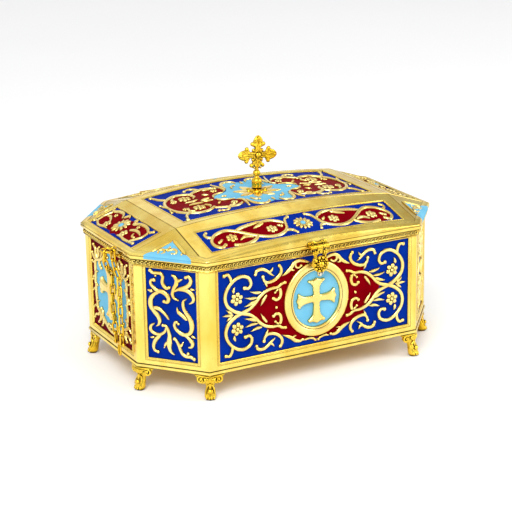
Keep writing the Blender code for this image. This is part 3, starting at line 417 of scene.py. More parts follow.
def inset(outline, amount):
    """An outline moved inwards; counter-clockwise outlines shrink."""
    out = []
    for k in range(len(outline)):
        a, b, c = (Vector(outline[j % len(outline)][:2]) for j in (k - 1, k, k + 1))
        e, f = (b - a).normalized(), (c - b).normalized()
        n = Vector((-e.y - f.y, e.x + f.x))
        n = n.normalized() if n.length > 1e-6 else Vector((-e.y, e.x))
        out.append(tuple(b + n * (amount / max(0.5, n.dot(Vector((-e.y, e.x)))))))
    return out


def slab(skin, outline, height, bevel, place, facing, material=None):
    """A raised plate with rounded edges."""
    rows = []
    for d, h in ((0.0, -0.2), (0.12 * bevel, 0.55 * height), (0.5 * bevel, 0.88 * height), (bevel, height)):
        edge = inset(outline, d)
        rows.append([place(u, v, h) for u, v in edge])
    skin.rows(rows, material or RELIEF_GOLD, facing)
    field(skin, edge, [], material or RELIEF_GOLD, lambda x, y, h: place(x, y, height), facing)


# The outline of the casket

# The corner walls: the direction that they face in one quarter, and their distance from the middle
CORNER_X, CORNER_Y = CUT_Y / math.hypot(CUT_X, CUT_Y), CUT_X / math.hypot(CUT_X, CUT_Y)
CORNER_REACH = CORNER_X * HALF_LENGTH + CORNER_Y * (HALF_WIDTH - CUT_Y)


def octagon(offset=0.0):
    """The plan of the walls, grown by an offset, counter-clockwise."""
    reach, x, y = CORNER_REACH + offset, HALF_LENGTH + offset, HALF_WIDTH + offset
    y1, x1 = (reach - CORNER_X * x) / CORNER_Y, (reach - CORNER_Y * y) / CORNER_X
    return [(x, -y1), (x, y1), (x1, y), (-x1, y), (-x, y1), (-x, -y1), (-x1, -y), (x1, -y)]


KINDS = ("end", "corner", "back", "corner", "end", "corner", "front", "corner")


def sides():
    """Each wall's kind, start, direction, outward direction and length."""
    corners = [Vector(c + (0.0,)) for c in octagon()]
    out = []
    for kind, start, end in zip(KINDS, corners, corners[1:] + corners[:1]):
        along = (end - start).normalized()
        out.append((kind, start, along, Vector((along.y, -along.x, 0.0)), (end - start).length))
    return out


def wall_place(side):
    """Maps millimetres from a panel's middle, and a height above its ground, to space."""
    kind, start, along, normal, length = side
    middle = start + along * (length / 2 + 0.6 * OFF_CENTRE[kind]) + UP * ((PANEL_LOW + PANEL_HIGH) / 2)

    def place(u, v, h):
        return middle + along * u + UP * v + normal * (h - RECESS)

    return place


# Ornament of the long walls, read from the lower left of the panel

LONG = (165.0, 72.7)
LONG_QUARTER = (
    (((21.0, 56.0), (24.2, 55.4), (26.4, 58.6), (24.8, 63.2), (20.0, 65.6), (15.0, 65.0), (10.6, 62.2),
      (7.0, 58.2), (4.9, 53.6), (4.7, 48.6), (6.6, 43.8), (10.2, 40.2), (15.0, 37.4), (20.5, 35.6),
      (25.6, 33.6), (29.8, 30.2), (33.4, 26.0), (38.0, 22.6), (43.6, 20.9), (49.0, 20.6), (52.4, 18.6),
      (55.2, 18.0)), (2.2, 2.6, 2.8, 2.6, 2.8, 3.0, 3.0, 2.6, 2.8, 2.4, 2.2), (1.7, 1.5)),
    (((10.0, 61.4), (9.4, 65.6), (7.2, 69.0), (4.2, 68.4)), (2.6, 2.4, 2.2), (0.0, 1.6)),
    (((50.4, 21.4), (51.6, 25.4), (50.6, 29.4), (47.6, 30.8), (45.2, 29.2)), (2.6, 2.6, 2.2), (0.0, 1.5)),
    (((34.2, 33.2), (36.4, 29.4), (39.6, 25.0)), (0.4, 2.4, 1.8)),
    (((46.6, 24.6), (49.6, 21.6)), (1.0, 2.0), (1.1, 0.0)),
    (((30.2, 65.2), (31.6, 68.0), (36.0, 68.6), (40.2, 66.4), (43.2, 63.6), (46.4, 61.4)),
     (2.4, 2.8, 2.6, 2.2, 0.6), (1.4, 0.0)),
    (((41.6, 65.0), (43.8, 66.2), (45.2, 68.6)), (2.4, 1.8, 0.4)),
    (((36.6, 62.4), (37.4, 59.4), (39.6, 57.4), (44.0, 57.4), (48.6, 59.4), (51.8, 62.8), (52.2, 66.4),
      (50.6, 69.0)), (1.8, 2.4, 2.6, 2.8, 2.6, 2.2), (1.5, 1.5)),
    (((38.4, 58.6), (39.0, 56.0), (40.2, 53.4)), (2.4, 2.0, 0.4)),
)
LONG_UPPER = (
    (((52.6, 60.4), (57.0, 62.4), (60.6, 65.2), (63.4, 68.6), (67.4, 70.2), (72.0, 69.2), (76.6, 67.4)),
     (0.6, 2.6, 3.2, 3.0, 2.8, 2.2, 1.0)),
    (((64.6, 68.4), (64.8, 65.6), (67.4, 64.6), (69.4, 65.8)), (2.2, 1.8, 1.6), (0.0, 1.2)),
    (((60.4, 64.4), (62.4, 63.4), (64.2, 63.6)), (2.4, 1.6, 0.4)),
)
LONG_LOWER = (
    (((52.6, 12.4), (57.0, 10.4), (60.8, 8.2), (63.8, 5.6), (67.4, 4.6), (70.0, 5.4)),
     (0.6, 2.6, 3.2, 2.8, 2.0), (0.0, 1.3)),
    (((61.6, 7.8), (62.6, 9.6), (65.0, 9.6)), (1.8, 1.6, 0.6)),
    (((71.0, 4.4), (75.4, 5.4), (79.0, 4.6), (81.2, 3.0)), (0.8, 2.0, 2.0, 1.6), (0.0, 1.2)),
)
LONG_RED = ((25.0, 36.4), (29.0, 40.6), (34.0, 45.6), (39.6, 50.0), (39.6, 57.0), (44.0, 57.6), (52.0, 60.4),
            (57.0, 62.6), (61.0, 65.6), (64.0, 69.0), (68.0, 70.0), (73.0, 68.8), (78.0, 67.4), (82.5, 67.0))
LONG_RED_LOW = ((82.5, 4.4), (78.0, 5.0), (71.0, 4.6), (67.0, 4.8), (63.0, 6.4), (58.0, 9.8), (52.0, 12.4),
                (44.0, 15.0), (39.6, 15.6), (39.6, 22.6), (34.0, 27.0), (29.0, 32.2))
LONG_LEAVES = (((35.6, 50.4), (25.4, 52.4), 2.7), ((32.4, 46.8), (20.8, 48.2), 2.4),
               ((31.2, 45.2), (20.4, 41.2), 2.9), ((11.4, 53.2), (12.6, 58.4), 2.6))
LONG_TIP_LEAVES = (((11.6, 36.4), (1.8, 36.8), 2.8), ((10.6, 36.8), (5.2, 41.2), 2.4),
                   ((10.6, 36.0), (5.4, 32.2), 2.4))
LONG_FLOWER, LONG_DOT = (14.4, 48.4), (47.7, 35.8)
MEDAL = (0.0, 0.6)


# Height of a panel's middle among the readings, and how much they shrink in height to fit
MIDDLE_READ, SHRINK = 36.35, 0.985


def mirrored(points, size, su, sv):
    """Readings from a panel's lower left, as places from its middle, mirrored where a sign is -1."""
    return [((x - size[0] / 2) * su, (y - MIDDLE_READ) * SHRINK * sv) for x, y in points]


def long_panel(skin, side):
    """The ornament of a long wall and its coloured regions."""
    place, facing = wall_place(side), side[3]
    for su in (1, -1):
        for sv in (1, -1):
            strokes(skin, LONG_QUARTER, lambda p: mirrored(p, LONG, su, sv), place, facing)
            strokes(skin, LONG_UPPER if sv > 0 else LONG_LOWER, lambda p: mirrored(p, LONG, su, 1),
                    place, facing)
            for a, b, width in LONG_LEAVES:
                leaf(skin, *mirrored((a, b), LONG, su, sv), width, place, facing, 0.06 * su * sv)
            flower(skin, *mirrored((LONG_FLOWER,), LONG, su, sv), 5.4, 6, place, facing)
        for a, b, width in LONG_TIP_LEAVES:
            leaf(skin, *mirrored((a, b), LONG, su, 1), width, place, facing)
        dome(skin, *mirrored((LONG_DOT,), LONG, su, 1), 1.3, 1.3, 0.0, RELIEF, place, facing)
    red = mirrored(LONG_RED, LONG, 1, 1) + mirrored(LONG_RED[::-1][1:], LONG, -1, 1)
    red += mirrored(LONG_RED_LOW, LONG, -1, 1)[::-1] + mirrored(LONG_RED_LOW, LONG, 1, 1)[1:]
    u, v = MEDAL
    sky = [(u + 21.2 * math.cos(a), v + 24.2 * math.sin(a)) for a in turns(72)]
    oval(skin, MEDAL, place, facing)
    cross(skin, MEDAL, (17.6, 16.6, 20.0), 3.1, (6.2, 7.6), 2.2, place, facing)
    return [(red, RED), (sky, SKY)]


def oval(skin, centre, place, facing):
    """The medallion's convex frame with a groove near its inner edge."""
    rows = []
    for d, h in ((0.0, -0.2), (0.05, 1.5), (0.5, 2.3), (1.6, 2.7), (3.4, 2.85), (4.8, 2.6), (5.5, 2.2),
                 (5.75, 1.75), (6.0, 1.75), (6.2, 2.15), (6.7, 2.2), (7.3, 1.8), (7.6, 0.8), (7.65, -0.2)):
        rows.append([place(centre[0] + (28.2 - d) * math.cos(a), centre[1] + (30.2 - d) * math.sin(a), h)
                     for a in turns(120)])
    skin.rows(rows, RELIEF_GOLD, facing)


def cross(skin, centre, reaches, waist, flares, height, place, facing, bevel=1.1):
    """A cross with curved arms whose ends have two lobes and a middle point."""
    arm, up, down = reaches
    arms = (((1, 0), arm, flares[0]), ((0, 1), up, flares[1]), ((-1, 0), arm, flares[0]),
            ((0, -1), down, flares[1]))

    def spot(way, a, b):
        return (centre[0] + way[0] * a - way[1] * b, centre[1] + way[1] * a + way[0] * b)

    outline = []
    for way, reach, flare in arms:
        half = ((0.42 * reach, 0.94 * waist), (0.62 * reach, 1.12 * waist), (0.76 * reach, 0.74 * flare),
                (0.85 * reach, flare), (0.93 * reach, 0.86 * flare), (0.925 * reach, 0.5 * flare),
                (0.965 * reach, 0.2 * flare))
        shape = [(waist, -waist)] + [(a, -b) for a, b in half] + [(reach, 0.0)] + list(half[::-1])
        outline += [spot(way, a, b) for a, b in shape]
    slab(skin, smooth(outline, 0.9, closed=True), height, bevel, place, facing)
    for way, reach, flare in arms:
        for b in (-0.45, 0.45):
            dome(skin, spot(way, 0.84 * reach, b * flare), 1.3, 1.0, 0.0, height * 1.18, place, facing)


# Ornament of the corner walls

CORNER = (41.7, 72.7)
CORNER_STROKES = (
    (((4.2, 70.6), (6.0, 69.0), (9.6, 69.0), (12.8, 68.8), (14.4, 66.4), (13.8, 62.6), (14.8, 59.6),
      (17.2, 57.6), (19.4, 58.4)), (2.4, 2.6, 2.6, 2.6, 3.0, 2.4), (1.7, 1.4)),
    (((7.4, 68.2), (8.6, 66.8)), (1.6, 2.2), (0.0, 1.0)),
    (((7.0, 63.2), (4.6, 62.8), (4.3, 60.0), (6.6, 57.0), (9.8, 54.8), (13.4, 54.4), (16.8, 52.4),
      (18.6, 49.4), (17.6, 46.6), (14.8, 46.8)), (2.0, 2.4, 2.8, 3.4, 3.6, 3.2, 2.6), (1.7, 1.5)),
    (((11.0, 54.0), (6.6, 51.6), (3.8, 47.4), (3.6, 42.4), (6.4, 38.0), (9.4, 34.2), (10.6, 30.6),
      (9.6, 27.6), (7.2, 26.0)), (2.4, 3.4, 4.0, 3.8, 3.6, 3.2, 0.6)),
    (((5.8, 41.2), (10.4, 40.4), (14.4, 37.6), (17.0, 34.8), (18.6, 32.4)), (2.6, 3.2, 2.6, 2.2, 1.4)),
    (((21.2, 68.8), (23.8, 67.8), (25.5, 65.0), (25.0, 61.4), (23.0, 57.4), (21.9, 53.4), (23.4, 50.4),
      (26.6, 49.2)), (1.2, 3.0, 3.4, 3.2, 2.8, 2.4, 1.4), (0.0, 0.8)),
    (((25.4, 63.8), (28.0, 65.0), (30.6, 66.2)), (3.2, 2.4, 0.5)),
    (((22.8, 55.8), (27.4, 58.0), (32.4, 59.8), (36.0, 62.6), (37.2, 66.0), (35.6, 68.8), (33.2, 67.9)),
     (1.6, 2.6, 3.6, 3.4, 2.8, 2.2), (0.0, 1.5)),
    (((26.8, 57.4), (32.4, 57.8), (36.8, 55.8), (39.0, 52.4), (38.4, 49.2), (35.0, 47.0)),
     (1.4, 2.8, 3.6, 3.6, 2.4, 0.6)),
    (((33.8, 51.2), (30.9, 49.0), (30.4, 45.0), (31.8, 41.0), (34.5, 37.0), (36.6, 32.4), (36.9, 27.4),
      (35.2, 23.6), (31.4, 21.8), (27.4, 22.8), (24.0, 25.6), (22.7, 29.0), (24.0, 31.6), (26.2, 30.2)),
     (0.6, 2.6, 2.6, 3.2, 4.2, 3.8, 3.2, 3.2, 2.8, 2.4, 2.0), (0.0, 1.2)),
    (((25.2, 43.4), (26.4, 39.6), (29.6, 37.0), (33.6, 33.8)), (0.5, 3.0, 3.0, 2.4)),
    (((31.4, 21.6), (35.0, 18.6), (37.2, 15.4), (36.2, 12.6), (33.2, 12.2)), (2.0, 2.8, 3.4, 2.6, 1.0)),
    (((13.2, 27.4), (15.6, 27.2), (17.3, 24.4), (18.3, 20.0), (18.0, 15.0), (17.8, 10.6), (19.2, 6.8),
      (22.4, 4.4)), (2.2, 2.4, 2.6, 3.4, 4.6, 3.6, 2.4, 0.8), (1.4, 0.0)),
    (((17.0, 14.4), (15.0, 12.4), (14.0, 9.8)), (2.6, 2.4, 1.2), (0.0, 0.8)),
    (((6.8, 28.6), (3.8, 26.6), (2.7, 23.8), (4.5, 20.9), (8.5, 19.6), (12.4, 20.6), (15.2, 23.4),
      (15.7, 26.4)), (0.6, 2.6, 2.8, 2.6, 2.4, 2.4, 1.6)),
    (((12.4, 20.6), (9.0, 17.6), (6.2, 14.0), (4.8, 9.6), (5.8, 6.4), (8.4, 5.4)),
     (1.6, 3.0, 3.4, 3.0, 2.4, 2.0), (0.0, 1.5)),
    (((22.6, 17.6), (24.5, 15.6), (26.0, 12.4), (27.0, 9.4), (28.6, 6.2), (31.6, 4.4), (35.2, 4.4),
      (38.2, 2.9)), (2.2, 2.4, 2.6, 2.6, 2.8, 2.8, 2.4), (1.6, 1.5)),
    (((26.6, 11.6), (28.4, 13.4), (29.8, 16.2)), (2.6, 2.2, 0.4)),
    (((32.4, 5.0), (33.4, 7.0)), (2.0, 2.0), (0.0, 1.3)),
)
CORNER_LEAVES = (((6.3, 53.8), (1.2, 55.0), 2.8), ((36.2, 59.3), (40.6, 58.6), 2.3),
                 ((36.0, 21.8), (40.4, 20.2), 2.3), ((6.3, 17.2), (1.8, 16.4), 2.2))


def corner_panel(skin, side, flip):
    """The scrollwork of a corner wall; it has no coloured region."""
    place, facing = wall_place(side), side[3]
    strokes(skin, CORNER_STROKES, lambda p: mirrored(p, CORNER, flip, 1), place, facing)
    for a, b, width in CORNER_LEAVES:
        leaf(skin, *mirrored((a, b), CORNER, flip, 1), width, place, facing)
    return []


# Ornament of the end walls

END = (77.0, 72.7)
END_EDGE = ((38.5, 70.0), (34.0, 69.8), (30.4, 68.2), (27.4, 65.4), (24.0, 61.8), (19.6, 59.4), (14.0, 57.8),
            (9.4, 56.0), (8.0, 51.0), (8.6, 45.0), (7.2, 38.0), (7.6, 30.0), (9.0, 22.0), (9.4, 15.4),
            (14.0, 14.2), (18.4, 12.0), (24.0, 8.4), (29.4, 5.4), (34.0, 4.0), (38.5, 3.2))
END_STROKES = (
    (END_EDGE[0:5] + ((19.6, 59.4), (16.8, 57.0), (17.6, 53.6), (20.4, 52.4)), (2.2, 2.4, 2.6, 2.4, 2.0),
     (0.0, 1.3)),
    (((21.0, 60.2), (14.0, 57.8), (9.4, 56.0), (8.0, 51.0), (8.6, 46.4), (13.4, 48.0)),
     (2.0, 2.4, 2.6, 2.4, 0.6)),
    (((9.4, 47.6), (7.6, 42.0), (7.6, 36.6), (12.4, 35.0)), (2.0, 2.4, 2.4, 0.5)),
    (((8.8, 36.6), (7.6, 31.0), (8.4, 25.0), (9.0, 21.6), (13.8, 23.2)), (2.0, 2.4, 2.4, 2.2, 0.5)),
    (((9.4, 23.0), (9.6, 16.4), (14.0, 14.2), (18.4, 12.4), (19.6, 15.4), (17.0, 17.6)),
     (2.0, 2.4, 2.4, 2.2, 1.8), (0.0, 1.3)),
    (((17.6, 12.8), (24.0, 8.4), (29.4, 5.4), (34.0, 4.0), (38.5, 3.2)), (2.2, 2.6, 2.4, 2.2)),
    (((29.0, 5.8), (30.2, 8.6), (33.4, 8.8), (35.2, 7.2)), (2.2, 2.0, 1.6), (0.0, 1.1)),
    (((30.0, 68.0), (30.8, 65.4), (33.8, 64.8)), (2.2, 1.8, 1.4), (0.0, 1.1)),
    (((14.6, 58.6), (15.8, 63.0), (15.4, 67.0), (18.6, 69.4)), (2.4, 2.6, 2.2, 1.0), (0.0, 0.9)),
    (((12.6, 57.6), (9.8, 61.6), (9.8, 66.0), (6.2, 68.8)), (2.4, 2.8, 2.4, 1.0), (0.0, 1.2)),
    (((10.6, 57.0), (6.6, 58.0), (3.2, 61.4)), (2.2, 2.4, 1.2), (0.0, 1.2)),
    (((19.6, 60.6), (22.2, 64.0), (22.0, 68.0)), (2.0, 2.2, 0.5)),
    (((9.0, 55.4), (5.4, 53.6), (2.8, 54.2)), (2.0, 1.8, 1.0), (0.0, 1.0)),
    (((7.6, 41.6), (4.6, 41.6), (2.8, 38.6)), (2.0, 1.8, 0.8), (0.0, 1.0)),
    (((8.0, 30.4), (4.8, 31.4), (2.8, 29.6)), (2.0, 1.8, 0.8), (0.0, 1.0)),
    (((9.4, 17.0), (5.4, 17.2), (2.8, 15.0)), (2.0, 1.8, 0.8), (0.0, 1.0)),
    (((13.6, 14.0), (10.6, 10.6), (6.2, 9.6), (3.2, 6.6)), (2.4, 2.6, 2.2, 1.0), (0.0, 1.2)),
    (((16.0, 13.0), (15.0, 8.4), (11.2, 4.6)), (2.4, 2.8, 1.0), (0.0, 1.2)),
    (((19.6, 11.4), (20.6, 7.0), (18.2, 3.6)), (2.2, 2.4, 0.8), (0.0, 1.0)),
)


def end_panel(skin, side):
    """The ornament of an end wall and its coloured region."""
    place, facing = wall_place(side), side[3]
    for su in (1, -1):
        strokes(skin, END_STROKES, lambda p: mirrored(p, END, su, 1), place, facing)
    cross(skin, (0.0, 2.6), (19.5, 19.5, 24.6), 3.6, (7.0, 8.4), 3.0, place, facing, 1.4)
    return [(mirrored(END_EDGE, END, 1, 1) + mirrored(END_EDGE[::-1][1:-1], END, -1, 1), SKY)]


# Body

def rectangle(side, opening, depth):
    """The corners of a panel's opening grown by a margin, at a height over the wall's face."""
    kind, start, along, normal, length = side
    m = MARGIN[kind] - opening
    low, high = PANEL_LOW - opening, PANEL_HIGH + opening
    end = length - m + OFF_CENTRE[kind]
    spots = ((m, low), (end, low), (end, high), (m, high))
    return [start + along * u + UP * z + normal * depth for u, z in spots]


def milled(skin, corners, facing, width=0.6, height=0.55, pitch=0.85):
    """A row of fine beads along the edge of an opening."""
    for a, b in zip(corners, corners[1:] + corners[:1]):
        run = b - a
        steps = max(4, 2 * int(run.length / pitch / 2))
        across = run.normalized().cross(facing).normalized()
        rows = []
        for j in range(steps + 1):
            rise = height if j % 2 else height * 0.25
            middle = a + run * (j / steps)
            rows.append([middle + across * (width * t) + facing * (rise * h)
                         for t, h in ((-1.0, -0.6), (-0.55, 0.7), (0.0, 1.0), (0.55, 0.7), (1.0, -0.6))])
        skin.rows(rows, BAND, facing, around=False)


def frieze(skin, side, low):
    """Small scrolls and beads in a row under the lid."""
    _, start, along, normal, length = side
    count = int(length / 3.3)
    middle = start + UP * (low + 2.1) + normal * FRIEZE_OUT

    def place(u, v, h):
        return middle + along * u + UP * v + normal * h

    for k in range(count):
        u = (k + 0.5) * length / count
        stroke(skin, curl((u, 0.0), 40.0, 300.0, 1.25, 1.0, 6), (0.8, 0.9, 0.6), place, normal, 1.0, BAND,
               pitch=1.0)
        dome(skin, (u + 1.0, -0.2), 0.55, 0.9, 0.0, 0.9, place, normal, BAND, 6)


def body():
    """The walls, floor and ornament of the body."""
    skin = Skin()
    high = TOP - FRIEZE_HEIGHT

    def rings(*profile):
        return [[Vector((x, y, z)) for x, y in octagon(offset)] for offset, z in profile]

    base = rings((-4.0, 0.0), (BASE_LIP - 0.3, 0.0), (BASE_LIP, 0.3), (BASE_LIP, 1.7),
                 (BASE_LIP - 0.25, BASE_LIP_HEIGHT), (-0.5, BASE_LIP_HEIGHT + 0.15), (-0.5, 2.6),
                 (0.0, WALL_LOW))
    skin.rows(base, BAND)
    skin.put(base[0], [tuple(range(8))], INSIDE, -UP)
    skin.rows(rings((0.0, high - 0.9), (0.5, high - 0.5), (FRIEZE_OUT, high), (FRIEZE_OUT + 0.3, high + 0.35),
                    (FRIEZE_OUT, high + 0.7), (FRIEZE_OUT - 0.15, high + 0.9), (FRIEZE_OUT - 0.15, TOP - 1.2),
                    (FRIEZE_OUT + 0.2, TOP - 0.9), (FRIEZE_OUT, TOP - 0.4), (FRIEZE_OUT - 0.6, TOP)), BAND)
    edge, lining, ground_ring = rings((FRIEZE_OUT - 0.6, TOP), (-WALL, TOP), (-WALL, FLOOR))
    skin.rows([edge, lining], BAND, UP)
    for k in range(8):
        quad = [ground_ring[k - 1], ground_ring[k], lining[k], lining[k - 1]]
        inward = -(quad[0] + quad[1])
        skin.put(quad, [(0, 1, 2, 3)], INSIDE, (inward.x, inward.y, 0.0))
    skin.put(ground_ring, [tuple(range(8))], INSIDE, UP)
    corners = 0
    for side in sides():
        kind, start, along, normal, length = side
        outer = [start + along * u + UP * z for u, z in
                 ((0.0, WALL_LOW), (length, WALL_LOW), (length, high - 0.9), (0.0, high - 0.9))]
        skin.rows([rectangle(side, d, h) for d, h in WALL_LIP] + [outer], BAND, normal)
        milled(skin, rectangle(side, 0.9, 0.05), normal)
        if kind in ("front", "back"):
            regions, ground = long_panel(skin, side), BLUE
        elif kind == "corner":
            corners += 1
            regions, ground = corner_panel(skin, side, 1 if corners % 2 else -1), BLUE
        else:
            regions, ground = end_panel(skin, side), PLUM
        half_u, half_v = length / 2 - MARGIN[kind] + 0.35, (PANEL_HIGH - PANEL_LOW) / 2 + 0.35
        low_u, high_u = -half_u - 0.6 * OFF_CENTRE[kind], half_u + 0.4 * OFF_CENTRE[kind]
        border = [(low_u, -half_v), (high_u, -half_v), (high_u, half_v), (low_u, half_v)]
        field(skin, border, regions, ground, wall_place(side), normal)
        frieze(skin, side, high + 0.6)
    return skin.made("enamelled_body", "casket", "casket_body")


# Lid

def crown(x, y):
    """The height of the lid's top: bowed along the middle, with straight slopes beyond the seams."""
    ax, ay = abs(x), abs(y)
    drop = BOW_DROP * (min(ax, SEAM_X) / SEAM_X) ** 2
    drop += END_DROP * max(0.0, ax - SEAM_X) / (HALF_LENGTH - SEAM_X)
    drop += SIDE_DROP * max(0.0, ay - SEAM_Y) / (HALF_WIDTH - SEAM_Y)
    return CROWN_Z - drop


def lid_place(u, v, h):
    """A place over the ground of the lid's panels."""
    return Vector((u, v, crown(u, v) - LID_RECESS + h))


# The lid's panels: half lengths and bow of the middle ones, spans of the strips and of the ends
PANEL_REACH, PANEL_BOW, CENTRE_HALF = 83.0, 3.2, 38.0
STRIP_NEAR, STRIP_FAR = 57.2, 85.7
END_NEAR, END_FAR = 103.6, 127.6
END_SPANS = {-1: (-38.8, 42.0), 1: (-39.5, 39.5)}


def bowed(x, y):
    """The reach of a panel's long side, which bows out by a little over the middle."""
    return y + PANEL_BOW * (1.0 - (x / PANEL_REACH) ** 2)


def panel_outlines():
    """The outlines of the lid's panels, with the name of each."""
    xs = [PANEL_REACH * (2.0 * k / 28 - 1.0) for k in range(29)]
    long_side = [(x, bowed(x, CENTRE_HALF)) for x in xs]
    out = [("centre", [(x, -y) for x, y in long_side] + long_side[::-1])]
    for sy in (-1, 1):
        near = [(x, sy * bowed(x, STRIP_NEAR)) for x in xs]
        far = [(x, sy * bowed(x, STRIP_FAR)) for x in xs]
        out.append(("strip", far + near[::-1] if sy < 0 else near + far[::-1]))
    for sx, (low, high) in END_SPANS.items():
        ys = [low + (high - low) * k / 8 for k in range(9)]
        x0, x1 = sorted((END_NEAR * sx, END_FAR * sx))
        out.append(("end", [(x1, y) for y in ys] + [(x0, y) for y in ys[::-1]]))
    return out


LID_LIP = ((0.0, -LID_RECESS), (0.02, -0.15), (0.3, 0.2), (0.75, 0.28), (1.1, 0.05), (1.25, 0.0))

# The square corner of the light-blue triangles, in the quarter where x and y are positive
TRIANGLE_X, TRIANGLE_Y = 101.0, 56.6


def triangle(sx, sy):
    """The corners of a light-blue triangle, from its square one."""
    reach = CORNER_REACH - MARGIN_IN
    y_at = (reach - CORNER_X * TRIANGLE_X) / CORNER_Y
    x_at = (reach - CORNER_Y * TRIANGLE_Y) / CORNER_X
    return [(x * sx, y * sy) for x, y in ((TRIANGLE_X, TRIANGLE_Y), (x_at, TRIANGLE_Y), (TRIANGLE_X, y_at))]


def counter(outline):
    """An outline put counter-clockwise."""
    area = sum(a[0] * b[1] - b[0] * a[1] for a, b in zip(outline, outline[1:] + outline[:1]))
    return outline if area > 0.0 else outline[::-1]


def groove(x, y):
    """How far the lid's seams cut into its top at a place."""
    near = min(abs(abs(x) - SEAM_X), abs(abs(y) - SEAM_Y))
    return 0.8 if near < 0.06 else 0.0


RIM_SHARES = {"front": 24, "back": 24, "end": 8, "corner": 30}


def rim_ring(offset, height):
    """The plan outline cut into stations, with a height that is a number or a function.

    The middle third of a corner's stations lies between the sides of its triangle.
    """
    corners = octagon(offset)
    out = []
    for k in range(8):
        (x0, y0), (x1, y1) = corners[k], corners[(k + 1) % 8]
        count = RIM_SHARES[KINDS[k]]
        marks = [0.0, 1.0 / 3.0, 2.0 / 3.0, 1.0]
        if KINDS[k] == "corner":
            marks[1:3] = sorted(((TRIANGLE_X - abs(x0)) / (abs(x1) - abs(x0)),
                                 (TRIANGLE_Y - abs(y0)) / (abs(y1) - abs(y0))))
        for j in range(count):
            share = float(np.interp(3.0 * j / count, range(4), marks))
            x, y = x0 + (x1 - x0) * share, y0 + (y1 - y0) * share
            out.append(Vector((x, y, height(x, y) if callable(height) else height)))
    return out


def rim_sections():
    """The rim's moulding from the top's edge round to the inside."""
    rim_z = LID_Z + RIM_EDGE + RIM_BAND
    rings = [rim_ring(-MARGIN_IN, crown)]
    for offset, share in ((-2.3, -0.05), (-2.0, 0.0), (-0.6, 0.12), (0.9, 0.3), (2.1, 0.52), (2.9, 0.78),
                          (3.2, 1.0)):
        def height(x, y, offset=offset, share=share):
            top = crown(x * (HALF_LENGTH - MARGIN_IN) / (HALF_LENGTH + offset),
                        y * (HALF_WIDTH - MARGIN_IN) / (HALF_WIDTH + offset))
            return top + (rim_z - top) * max(0.0, share) + (share if share < 0.0 else 0.0) * 5.0
        rings.append(rim_ring(offset, height))
    for offset, z in ((3.2, rim_z - 0.2), (2.75, rim_z - 0.5), (2.75, rim_z - 0.8), (3.15, rim_z - 1.1),
                      (3.2, rim_z - 2.0), (2.9, rim_z - 2.6), (RIM_OUT - RIM_EDGE, LID_Z), (-WALL, LID_Z)):
        rings.append(rim_ring(offset, z))
    return rings


def rim(skin):
    """The lid's rim, light blue beside the triangles, and its inner wall."""
    rings = rim_sections()
    width = len(rings[0])
    middles = [(a.xy + b.xy) / 2 for a, b in zip(rings[0], rings[0][1:] + rings[0][:1])]
    blue = {j for j, (x, y) in enumerate(middles) if abs(x) > TRIANGLE_X and abs(y) > TRIANGLE_Y}
    places = [p for ring_of in rings for p in ring_of]
    for sky, material in ((False, BAND), (True, SKY)):
        cells = [(k * width, j, (j + 1) % width) for k in range(len(rings) - 1) for j in range(width)
                 if (j in blue and k < 13) == sky]
        skin.some(places, [(k + j, k + m, k + width + m, k + width + j) for k, j, m in cells], material)
    skin.rows([rings[-1], rim_ring(-WALL - 0.6, lambda x, y: crown(x, y) - LID_WALL)], INSIDE)


def lid():
    """The lid: rim, banded top, panels and inside."""
    skin = Skin()
    rim(skin)
    border = [(p.x, p.y) for p in rim_ring(-MARGIN_IN, 0.0)]
    holes = []
    for kind, outline in panel_outlines():
        skin.rows([[lid_place(x, y, LID_RECESS + h) for x, y in inset(outline, -d)] for d, h in LID_LIP],
                  BAND, UP)
        holes.append(inset(outline, -LID_LIP[-1][0]))
        milled(skin, [lid_place(x, y, LID_RECESS + 0.22) for x, y in inset(outline, -0.6)], UP, 0.45, 0.36)
        field(skin, outline, lid_regions(kind, outline), BLUE, lid_place, UP, 6.0)
    triangles = [counter(triangle(sx, sy)) for sx in (1, -1) for sy in (1, -1)]
    lines = []
    for s in (-1, 1):
        for d in (-0.45, 0.0, 0.45):
            lines.append([(s * (SEAM_X + d), y) for y in np.linspace(-86.0, 86.0, 40)])
            lines.append([(x, s * (SEAM_Y + d)) for x in np.linspace(-127.4, 127.4, 60)])

    def top(x, y, h):
        return Vector((x, y, crown(x, y) - groove(x, y)))

    field(skin, border, [], BAND, top, UP, 7.0, holes + triangles, lines)
    for outline in triangles:
        field(skin, outline, [], SKY, lambda x, y, h: Vector((x, y, crown(x, y) - 0.1)), UP, 5.0)
    inner = [(p.x, p.y) for p in rim_ring(-WALL - 0.6, 0.0)]
    field(skin, inner, [], INSIDE, lambda x, y, h: Vector((x, y, crown(x, y) - LID_WALL)), -UP, 12.0)
    lid_ornament(skin)
    return skin.made("enamelled_lid", "lid", "lid")


# Ornament of the lid, in the quarter where x and y are negative

